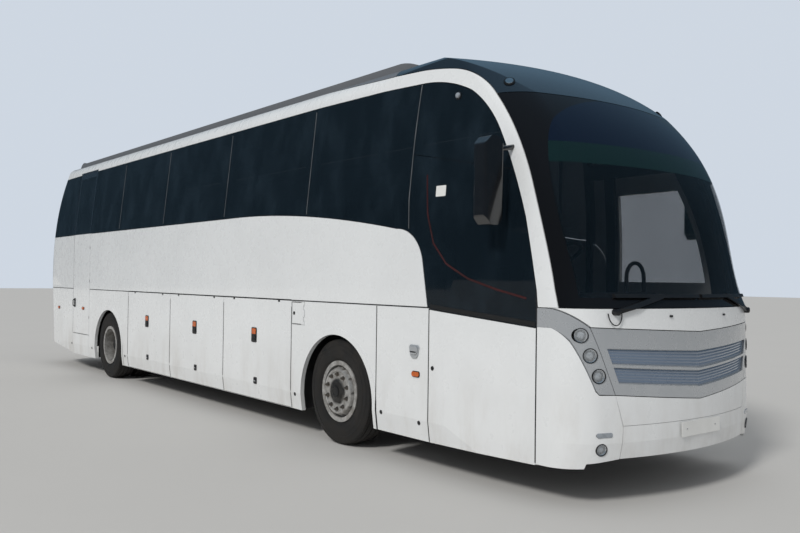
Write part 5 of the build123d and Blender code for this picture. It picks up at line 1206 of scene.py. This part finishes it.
class COACH_OT_front_lamps(bpy.types.Operator):
    """Head lamps, low lamps and direction strips"""

    bl_idname = "coach.front_lamps"
    bl_label = "Front lamps"

    def execute(self, context):
        skin = skin_of("front_lamps")
        parts = {name: bmesh.new() for name in (*LAMP_PARTS, "strips")}
        for _, side in SIDES:
            for x, z, radius in HEAD_LAMPS + (FOG_LAMP,):
                place = shifted(end_place(skin, -1, side * x, z), 0, 0, -LAMP_SINK)
                for name, (count, rings) in LAMP_PARTS.items():
                    add_disc(parts[name], place, [(radius * r, rise) for r, rise in rings], count)
            x, z, half, tall = STRIP_LAMP
            place = shifted(end_place(skin, -1, side * x, z), 0, 0, -STRIP_SINK)
            add_slab(parts["strips"], place, half * 2 + 0.004, tall * 2 + 0.004, 0.012, tall * 0.9, 6)
        as_piece(parts["bezels"], "front_lamp_bezels", "plastic", smooth=40)
        as_piece(parts["bowls"], "front_lamp_bowls", "chrome", smooth=50)
        as_piece(parts["projectors"], "front_lamp_projectors", "eye", smooth=60)
        lens = as_piece(parts["lenses"], "front_lamp_lenses", "lens", smooth=60)
        as_piece(parts["strips"], "front_strip_lamps", "eye", 0.002)
        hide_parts("front_lamps")
        return {"FINISHED"}


# Mirrors: middle of the head in x, then height, width and height of each glass
MIRROR_X = 1.385
MIRROR_GLASSES = ((2.205, 0.150, 0.300), (2.515, 0.150, 0.170))
BROW_LAMP = (-1.006, 3.168)
BROW_RING = (32, ((0.046, 0.0), (0.046, 0.008), (0.038, 0.014), (0.033, 0.012)))
BROW_GLASS = (32, ((0.034, 0.0), (0.032, 0.004), (0.020, 0.009), (0.008, 0.011)))


class COACH_OT_mirror_fittings(bpy.types.Operator):
    """Mirror glasses, and the lamp and the small round mirror on the dome"""

    bl_idname = "coach.mirror_fittings"
    bl_label = "Mirror glasses"

    def execute(self, context):
        skin = skin_of("mirrors")
        glasses, rims = bmesh.new(), bmesh.new()
        for _, side in SIDES:
            for z, wide, tall in MIRROR_GLASSES:
                place = end_place(skin, 1, side * MIRROR_X, z)
                add_slab(rims, place, wide + 0.016, tall + 0.016, 0.004, 0.026)
                add_slab(glasses, shifted(place, 0, 0, 0.003), wide, tall, 0.003, 0.020)
            x, z = BROW_LAMP
            place = end_place(skin_of("front_dome"), -1, -side * x, z)
            add_turned(rims, place, BROW_RING)
            add_turned(glasses, place, BROW_GLASS, 0.010)
        as_piece(glasses, "mirror_glasses", "mirror")
        as_piece(rims, "mirror_rims", "plastic", 0.0015)
        return {"FINISHED"}


# Wiper pivots (x, height), washer jets, and the middle and half size of the hose's bow
WIPER_PIVOTS = ((-0.87, 1.385), (0.95, 1.375))
JETS = ((-0.35, 1.352), (0.38, 1.352))
PIVOT_CAP = (20, ((0.024, 0.0), (0.024, 0.010), (0.018, 0.016), (0.008, 0.018)))
JET_SIZE = (0.030, 0.016, 0.010, 0.006)
HOSE_AT = (-0.87, 1.375)
HOSE_BOW = (0.055, 0.085)


class COACH_OT_apron_fittings(bpy.types.Operator):
    """Wiper caps, washer jets and the hose below the right pivot"""

    bl_idname = "coach.apron_fittings"
    bl_label = "Fittings below the windscreen"

    def execute(self, context):
        front = skin_of("front_mouldings", "grille", "headlamp_panels", "wipers", "windscreen")
        caps = bmesh.new()
        for x, z in WIPER_PIVOTS:
            place = end_place(skin_of("wipers"), -1, x, z)
            add_turned(caps, place, PIVOT_CAP)
        for x, z in JETS:
            place = end_place(skin_of("front_mouldings"), -1, x, z)
            add_slab(caps, place, *JET_SIZE)
        as_piece(caps, "wiper_caps", "plastic", 0.0015)
        hose = bmesh.new()
        path = []
        for i in range(13):
            turn = math.pi * i / 12
            x = HOSE_AT[0] + HOSE_BOW[0] * math.cos(turn)
            z = HOSE_AT[1] - HOSE_BOW[1] * math.sin(turn)
            hit, out = on_end(front, -1, x, z)
            path.append(hit + out * (0.006 + 0.012 * math.sin(turn)))
        add_sweep(hose, path, circle(0.004), up=(1, 0, 0.3))
        as_piece(hose, "washer_hose", "rubber")
        return {"FINISHED"}


# Rows of the engine door's louvres: height of each, and half width
LOUVRE_Z = tuple(0.98 + 0.055 * i for i in range(9))
LOUVRE_HALF = 0.62
LOUVRE_LEAN = (0, 0.85, -0.53)
TAIL_LAMP_X = 1.005
TAIL_RING = (36, ((0.066, 0.0), (0.066, 0.006), (0.060, 0.009), (0.055, 0.006)))
TAIL_LENS = (36, ((0.056, 0.0), (0.055, 0.007), (0.042, 0.013), (0.016, 0.016)))
TAIL_LAMP_ROWS = (("red", (0.86, 1.42)), ("amber", (1.14,)), ("eye", (1.00,)))
REAR_REFLECTOR = (0.78, 0.545)
REFLECTOR_SIZE = (0.110, 0.042, 0.007, 0.008)
ENGINE_HANDLE_Z = 0.745
ENGINE_PLATE = (0.16, 0.055, 0.006, 0.016)
ENGINE_BAIL = (0.115, 0.024, 0.007)


class COACH_OT_tail_fittings(bpy.types.Operator):
    """Louvres and handle of the engine door, lamp rings and lenses, reflectors"""

    bl_idname = "coach.tail_fittings"
    bl_label = "Tail fittings"

    def execute(self, context):
        door = skin_of("engine_door")
        louvres = bmesh.new()
        for z in LOUVRE_Z:
            hit, out = on_end(door, 1, 0.0, z)
            place = standing(hit - out * 0.004, LOUVRE_LEAN)
            add_slab(louvres, place, LOUVRE_HALF * 2, 0.034, 0.006, 0.004, 2)
        as_piece(louvres, "engine_louvres", "plastic", 0.001, body="engine_door")
        handle = bmesh.new()
        place = end_place(door, 1, 0.0, ENGINE_HANDLE_Z)
        add_slab(handle, place, *ENGINE_PLATE)
        add_bail(handle, shifted(place, 0, -0.006, 0.004), *ENGINE_BAIL)
        as_piece(handle, "engine_door_handle", "plastic", 0.0015, body="engine_door")
        lamps = skin_of("tail_lamps")
        rings = bmesh.new()
        for finish, heights in TAIL_LAMP_ROWS:
            lenses = bmesh.new()
            for _, side in SIDES:
                for z in heights:
                    place = end_place(lamps, 1, side * TAIL_LAMP_X, z)
                    add_turned(rings, place, TAIL_RING)
                    add_turned(lenses, place, TAIL_LENS, 0.004)
            as_piece(lenses, f"tail_lenses_{finish}", finish, slot="tail_lamp")
        as_piece(rings, "tail_lamp_rings", "chrome", slot="silver_paint")
        bumper = skin_of("tail_bumper")
        marks = bmesh.new()
        for _, side in SIDES:
            place = end_place(bumper, 1, side * REAR_REFLECTOR[0], REAR_REFLECTOR[1])
            add_slab(marks, place, *REFLECTOR_SIZE)
        as_piece(marks, "rear_reflectors", "red", 0.002)
        return {"FINISHED"}


# Roof hatches on the centre line: their stations, width and length
HATCH_Y = (-1.9, 1.3, 4.3)
HATCH_SIZE = (0.62, 0.62)


def on_top(skin, x, y):
    hit, normal, _, _ = skin.ray_cast(Vector((x, y, CLEAR_Z)), Vector((0, 0, -1)))
    if hit is None:
        raise ValueError(f"no top skin at x {x:.3f}, y {y:.3f}")
    return hit, normal if normal.z > 0 else -normal


class COACH_OT_roof_fittings(bpy.types.Operator):
    """Roof hatches with their curbs"""

    bl_idname = "coach.roof_fittings"
    bl_label = "Roof fittings"

    def execute(self, context):
        roof = skin_of("roof_panel")
        hatches, curbs = bmesh.new(), bmesh.new()
        wide, deep = HATCH_SIZE
        for y in HATCH_Y:
            hit, out = on_top(roof, 0.0, y)
            place = standing(hit, out, (0, 1, 0))
            add_slab(curbs, place, wide + 0.06, deep + 0.06, 0.010, 0.05)
            add_slab(hatches, shifted(place, 0, 0, 0.008), wide, deep, 0.022, 0.06)
            for x in (-0.18, 0.0, 0.18):
                add_slab(hatches, shifted(place, x, 0, 0.028), 0.030, deep * 0.8, 0.006, 0.012)
        as_piece(curbs, "hatch_curbs", "rubber", 0.002)
        as_piece(hatches, "roof_hatches", "grey", 0.006)
        return {"FINISHED"}


# Cab: pole by the entrance (x, station and heights), grab rail on the dashboard
POLE = (0.36, -4.62)
POLE_Z = (1.001, 2.2, 3.28)
RAIL_X = (0.02, 0.26)
RAIL_Y = -5.62


class COACH_OT_cab_fittings(bpy.types.Operator):
    """Pole by the entrance and grab rail on the dashboard"""

    bl_idname = "coach.cab_fittings"
    bl_label = "Cab fittings"

    def execute(self, context):
        rails = bmesh.new()
        ring = circle(0.017, 12)
        x, y = POLE
        add_sweep(rails, [Vector((x, y, z)) for z in POLE_Z], ring, up=(0, 1, 0))
        x0, x1 = RAIL_X
        foot, _ = on_top(skin_of("dashboard"), x0, RAIL_Y)
        half = (x1 - x0) / 2
        path = [Vector((x0, RAIL_Y, foot.z - 0.004))]
        path += [Vector(((x0 + x1) / 2 - half * math.cos(a), RAIL_Y, foot.z + 0.13 + half * math.sin(a)))
                 for a in [math.pi * i / 10 for i in range(11)]]
        path.append(Vector((x1, RAIL_Y, foot.z - 0.004)))
        add_sweep(rails, path, ring, up=(0, 1, 0))
        as_piece(rails, "cab_rails", "trim")
        return {"FINISHED"}


# Luggage racks: inner and outer x, lower and upper height, and their ends along the coach
RACK_X = (0.62, 1.03)
RACK_Z = (2.66, 2.78)
RACK_Y = (-3.9, 5.75)


class COACH_OT_linings(bpy.types.Operator):
    """Luggage racks over the seats, with their lipped edges"""

    bl_idname = "coach.linings"
    bl_label = "Luggage racks"

    def execute(self, context):
        bm = bmesh.new()
        inner, outer = RACK_X
        low, top = RACK_Z
        for _, side in SIDES:
            section = [(0.0, 0.0), (outer - inner, 0.02), (outer - inner, 0.05), (0.045, 0.03),
                       (0.020, top - low), (-0.012, top - low), (-0.020, 0.03)]
            path = [Vector((side * inner, y, low)) for y in RACK_Y[::side]]
            add_sweep(bm, path, section, up=(0, 0, 1))
        as_piece(bm, "luggage_racks", "lining", 0.004)
        return {"FINISHED"}


# Number plates: width, height, thickness and corner radius, x of the screws and their rings, then
# end, node it is on, height and finish of each
PLATE = (0.52, 0.111, 0.004, 0.010)
PLATE_SCREW_X = 0.19
PLATE_SCREW = (12, ((0.006, 0.0), (0.006, 0.0015), (0.003, 0.003)))
PLATES = (("front", -1, "front_mouldings", 0.512, "plate_front"),
          ("rear", 1, "engine_door", 0.86, "plate_rear"))


class COACH_OT_plates(bpy.types.Operator):
    """Blank number plates, front and rear"""

    bl_idname = "coach.plates"
    bl_label = "Plates"

    def execute(self, context):
        for mark, end, node, z, finish in PLATES:
            place = end_place(skin_of(node), end, 0.0, z)
            plate = bmesh.new()
            add_slab(plate, shifted(place, 0, 0, 0.001), *PLATE)
            body = "coach_body" if end < 0 else "engine_door"
            as_piece(plate, f"blank_plate_{mark}", finish, 0.0008, body=body, slot="white_paint")
            screws = bmesh.new()
            for x in (-PLATE_SCREW_X, PLATE_SCREW_X):
                add_turned(screws, shifted(place, x, 0.0, 0.0), PLATE_SCREW, 0.005)
            as_piece(screws, f"plate_screws_{mark}", "bright", body=body)
        return {"FINISHED"}


# Driver's window: its sill, then the trim that curves down round it (station, height)
SILL_LINE = ((-5.722, 1.285), (-4.606, 1.378))
TRIM_LINE = ((-4.520, 2.480), (-4.560, 2.150), (-4.640, 1.900), (-4.800, 1.730), (-5.050, 1.610),
             (-5.350, 1.530), (-5.640, 1.470))
SIGN = (-4.700, 2.330)
SIGN_SIZE = (0.115, 0.090, 0.0012, 0.006)


class COACH_OT_window_fittings(bpy.types.Operator):
    """Trim of the driver's window, a blank sign and the rubber below it"""

    bl_idname = "coach.window_fittings"
    bl_label = "Driver's window fittings"

    def execute(self, context):
        skin = skin_of("side_glass", "front_mouldings", "skirt_panels")
        trim = bmesh.new()
        places, normals = seam_path(skin, -1, TRIM_LINE, 0.0, 0.05)
        add_sweep(trim, places, box_section(0.016, 0.0015, 0.001), up=normals)
        as_piece(trim, "window_trim", "red_trim", 0.0005)
        sill = bmesh.new()
        add_strip(sill, skin_of("side_glass"), -1, SILL_LINE, 0.036, rise=0.004)
        as_piece(sill, "cab_sill_rubber", "sill", 0.002)
        sign = bmesh.new()
        add_slab(sign, side_place(skin, -1, *SIGN), *SIGN_SIZE)
        as_piece(sign, "blank_sign", "plate_front")
        return {"FINISHED"}


# Fields set back between the grille's bars: heights (at the middle, at the ends) of top and foot
GRILLE_FIELDS = (((1.089, 1.129), (0.956, 1.014)), ((0.939, 0.996), (0.817, 0.878)))
GRILLE_END = ((0.800, 0.807), (1.273, 0.987))       # inner edge of its slanted end: (height, x)
FIELD_INSET = 0.007
# Crown and foot of an insert's ribs and its back, off the floor of the field
RIB_CROWN = 0.005
RIB_FOOT = 0.002
FIELD_BACK = -0.001


def add_field(bm, skin, top, foot, columns=48, ribs=5):
    """Ribbed insert that lies in a field of the grille, a closed sheet on its floor."""
    (z0, x0), (z1, x1) = GRILLE_END
    bmesh.ops.create_grid(bm, x_segments=columns, y_segments=ribs * 2, size=1.0)
    grown = bmesh.ops.extrude_face_region(bm, geom=list(bm.faces))["geom"]
    for vert in bm.verts:
        across, share = vert.co.x, (vert.co.y + 1) / 2
        high = top[0] + (top[1] - top[0]) * abs(across) - FIELD_INSET
        low = foot[0] + (foot[1] - foot[0]) * abs(across) + FIELD_INSET
        z = low + (high - low) * share
        half = x0 + (x1 - x0) * (z - z0) / (z1 - z0) - FIELD_INSET
        hit, normal = on_end(skin, -1, across * half, z)
        shown = RIB_CROWN if round(share * ribs * 2) % 2 else RIB_FOOT
        vert.co = hit + normal * (shown if vert in grown else FIELD_BACK)
    bmesh.ops.recalc_face_normals(bm, faces=bm.faces)


class COACH_OT_grille_fields(bpy.types.Operator):
    """Inserts between the bars of the grille, dark blue-grey as painted shade and painted sky reflection in
    the recesses
    """

    bl_idname = "coach.grille_fields"
    bl_label = "Grille inserts"

    def execute(self, context):
        skin = skin_of("grille")
        for name, (top, foot) in zip(("upper", "lower"), GRILLE_FIELDS):
            field = bmesh.new()
            add_field(field, skin, top, foot)
            # The inserts' dark blue-grey finish is painted shade and painted reflection of the silver
            # recesses
            as_piece(field, f"grille_field_{name}", "field", smooth=20)
        return {"FINISHED"}


# Entrance door on the left: its handle and cross bar (station, height), and its rubber's span
DOOR_HANDLE = (-4.655, 1.32)
DOOR_PLATE = (0.070, 0.130, 0.006, 0.016)
DOOR_BAIL = (0.100, 0.026, 0.007)
DOOR_BAR = ((-5.600, 1.390), (-4.640, 1.390))
DOOR_Y = (-5.722, -4.607)
DOOR_Z = (0.272, 1.355)


class COACH_OT_entrance_fittings(bpy.types.Operator):
    """Handle, edge rubber and cross bar of the entrance door"""

    bl_idname = "coach.entrance_fittings"
    bl_label = "Entrance door fittings"

    def execute(self, context):
        skin = skin_of("entrance_door")
        handle = bmesh.new()
        place = side_place(skin, 1, *DOOR_HANDLE)
        add_grab(handle, place, DOOR_PLATE, DOOR_BAIL)
        as_piece(handle, "entrance_handle", "plastic", 0.0015)
        rubber = bmesh.new()
        for y in DOOR_Y:
            add_strip(rubber, skin, 1, [(y, z) for z in DOOR_Z], 0.010)
        add_strip(rubber, skin, 1, [(y, DOOR_Z[0]) for y in DOOR_Y], 0.010)
        add_strip(rubber, skin, 1, DOOR_BAR, 0.020, rise=0.002)
        as_piece(rubber, "entrance_rubber", "rubber")
        return {"FINISHED"}


# Exhaust below the floor on the left: front end of the silencer, its radius and length, its pipe
SILENCER = (0.70, 4.35, 0.62)
SILENCER_SIZE = (0.17, 0.95)
SILENCER_END = ((0.5, -0.03), (0.86, 0.0), (1.0, 0.04))
PIPE_R = 0.055
PIPE_BEND_R = 0.14
PIPE_RUN = 0.25
# Mud flaps: x, station behind the axle and height of each, on both sides
FLAP_PLACE = (1.02, 0.66, 0.46)
FLAP_SIZE = (0.30, 0.40, 0.006, 0.02)


class COACH_OT_underside(bpy.types.Operator):
    """Exhaust silencer with its pipe, and the mud flaps behind the wheels"""

    bl_idname = "coach.underside"
    bl_label = "Underside"

    def execute(self, context):
        x, y, z = SILENCER
        radius, long = SILENCER_SIZE
        along = Matrix.Translation((x, y, z)) @ Matrix.Rotation(math.radians(-90), 4, "X")
        can = bmesh.new()
        half = [(radius * share, rise) for share, rise in SILENCER_END]
        far = [(r, long - rise) for r, rise in reversed(half)]
        add_disc(can, along, half + [(radius, long / 2)] + far, 28)
        as_piece(can, "silencer", "iron", smooth=50)
        pipe = bmesh.new()
        bend = y + long + PIPE_RUN
        path = [Vector((x, y + long, z)), Vector((x, bend, z))]
        path += [Vector((x, bend + PIPE_BEND_R * math.sin(a), z - PIPE_BEND_R * (1 - math.cos(a))))
                 for a in [math.pi * i / 16 for i in range(1, 6)]]
        add_sweep(pipe, path, circle(PIPE_R, 16), up=(1, 0, 0))
        as_piece(pipe, "tail_pipe", "iron", smooth=50)
        flaps = bmesh.new()
        x, behind, z = FLAP_PLACE
        for axle in (FRONT_AXLE_Y, REAR_AXLE_Y):
            for _, side in SIDES:
                upright = Matrix.Translation((side * x, axle + behind, z)) @ QUARTER_X
                add_slab(flaps, upright, *FLAP_SIZE)
        as_piece(flaps, "mud_flaps", "rubber", 0.001)
        return {"FINISHED"}


class COACH_OT_stage(bpy.types.Operator):
    """Camera at the photo's viewing angle, floor, backdrop and soft lamps"""

    bl_idname = "coach.stage"
    bl_label = "Stage"

    def execute(self, context):
        scene = context.scene
        values = scene.coach_stage
        add_camera(scene)
        add_floor(values)
        add_world(scene, values)
        add_lamps(values)
        scene.view_settings.view_transform = "Standard"
        return {"FINISHED"}


# Camera fitted to the photo, whose frame is 800 by 533
IMAGE_W = 800
FOCAL_PX = 818.52
CAMERA_AT = (-5.6784, -9.7557, 1.6004)
YAW = math.radians(38.561)
PITCH = math.radians(0.876)
ROLL = math.radians(0.730)


# Way that the sun's rays run
SUN_RAYS = (0.72, 0.22, -0.66)


def add_camera(scene):
    data = bpy.data.cameras.new("camera")
    data.sensor_width = 36.0
    data.lens = FOCAL_PX / IMAGE_W * data.sensor_width
    data.clip_end = 300.0
    view = bpy.data.objects.new("camera", data)
    scene.collection.objects.link(view)
    ahead = Vector((math.sin(YAW) * math.cos(PITCH), math.cos(YAW) * math.cos(PITCH), math.sin(PITCH)))
    level = Vector((math.cos(YAW), -math.sin(YAW), 0.0))
    upright = level.cross(ahead)
    right = level * math.cos(ROLL) + upright * math.sin(ROLL)
    up = upright * math.cos(ROLL) - level * math.sin(ROLL)
    turn = Matrix((right, up, -ahead)).transposed().to_4x4()
    view.matrix_world = Matrix.Translation(CAMERA_AT) @ turn
    scene.camera = view


def add_floor(values):
    bm = bmesh.new()
    bmesh.ops.create_grid(bm, x_segments=1, y_segments=1, size=90.0)
    mesh = bpy.data.meshes.new("floor")
    bm.to_mesh(mesh)
    bm.free()
    floor = bpy.data.objects.new("floor", mesh)
    bpy.context.scene.collection.objects.link(floor)
    material, tree = new_finish("pale_floor")
    shade = blended(tree, noise(tree, 0.6, 4.0), toned(values.floor, 0.96), values.floor)
    mesh.materials.append(finished(material, Base_Color=shade, Roughness=0.85, Specular_IOR_Level=0.2))


def add_world(scene, values):
    """Even light from all round; the camera sees the pale backdrop, and gloss sees a blue sky."""
    world = bpy.data.worlds.new("studio")
    scene.world = world
    world.use_nodes = True
    tree = world.node_tree
    light = tree.nodes["Background"]
    light.inputs["Color"].default_value = (0.93, 0.96, 1.0, 1.0)
    light.inputs["Strength"].default_value = values.fill
    shown = add(tree, "ShaderNodeBackground", {"Color": (*values.backdrop, 1.0), "Strength": 1.0})
    around = add(tree, "ShaderNodeTexCoord").outputs["Generated"]
    up = add(tree, "ShaderNodeSeparateXYZ", {"Vector": around})
    sky = blended(tree, ranged(tree, up.outputs["Z"], -0.05, 0.9), values.low_sky, values.high_sky)
    mirrored = add(tree, "ShaderNodeBackground", {"Color": sky, "Strength": 1.0})
    rays = tree.nodes.new("ShaderNodeLightPath")
    seen = maths(tree, rays.outputs["Is Camera Ray"], rays.outputs["Is Transmission Ray"], "MAXIMUM")
    mix = add(tree, "ShaderNodeMixShader", {0: rays.outputs["Is Glossy Ray"], 1: light.outputs[0],
                                            2: mirrored.outputs[0]})
    mix = add(tree, "ShaderNodeMixShader", {0: seen, 1: mix.outputs[0], 2: shown.outputs[0]})
    tree.links.new(mix.outputs[0], tree.nodes["World Output"].inputs["Surface"])


def add_lamps(values):
    """A high soft sun from the coach's right, as in the photo."""
    data = bpy.data.lights.new("key", "SUN")
    data.energy = values.key
    data.angle = math.radians(12)
    data.color = (1.0, 0.985, 0.96)
    lamp = bpy.data.objects.new("key", data)
    bpy.context.scene.collection.objects.link(lamp)
    lamp.visible_glossy = False
    lamp.rotation_euler = Vector(SUN_RAYS).to_track_quat("-Z", "Y").to_euler()


class COACH_PT_panel(bpy.types.Panel):
    """The coach's sizes, colours and pieces"""

    bl_idname = "COACH_PT_panel"
    bl_label = "Coach"
    bl_space_type = "VIEW_3D"
    bl_region_type = "UI"
    bl_category = "Coach"

    def draw(self, context):
        layout = self.layout
        for group in (context.scene.coach_colours, context.scene.coach_sizes, context.scene.coach_stage):
            box = layout.box()
            for name in group.__annotations__:
                box.prop(group, name)
        for operator in OPERATORS:
            layout.operator(operator.bl_idname)


OPERATORS = (COACH_OT_finishes, COACH_OT_tyres, COACH_OT_wheel_fittings, COACH_OT_window_seals,
             COACH_OT_seams, COACH_OT_door_edging, COACH_OT_locker_fittings, COACH_OT_side_lamps,
             COACH_OT_exit_fittings, COACH_OT_front_lamps, COACH_OT_mirror_fittings,
             COACH_OT_apron_fittings, COACH_OT_tail_fittings, COACH_OT_window_fittings,
             COACH_OT_grille_fields, COACH_OT_entrance_fittings, COACH_OT_roof_fittings,
             COACH_OT_cab_fittings, COACH_OT_linings, COACH_OT_underside, COACH_OT_plates, COACH_OT_seats,
             COACH_OT_stage)
GROUPS = (("coach_colours", COACH_PG_colours), ("coach_sizes", COACH_PG_sizes),
          ("coach_stage", COACH_PG_stage))


def register():
    for _, group in GROUPS:
        bpy.utils.register_class(group)
    for operator in OPERATORS:
        bpy.utils.register_class(operator)
    bpy.utils.register_class(COACH_PT_panel)
    for name, group in GROUPS:
        setattr(bpy.types.Scene, name, PointerProperty(type=group))


def unregister():
    for name, _ in GROUPS:
        delattr(bpy.types.Scene, name)
    bpy.utils.unregister_class(COACH_PT_panel)
    for operator in reversed(OPERATORS):
        bpy.utils.unregister_class(operator)
    for _, group in GROUPS:
        bpy.utils.unregister_class(group)


def main():
    register()
    for operator in OPERATORS:
        group, name = operator.bl_idname.split(".")
        getattr(getattr(bpy.ops, group), name)()


if __name__ == "__main__":
    main()
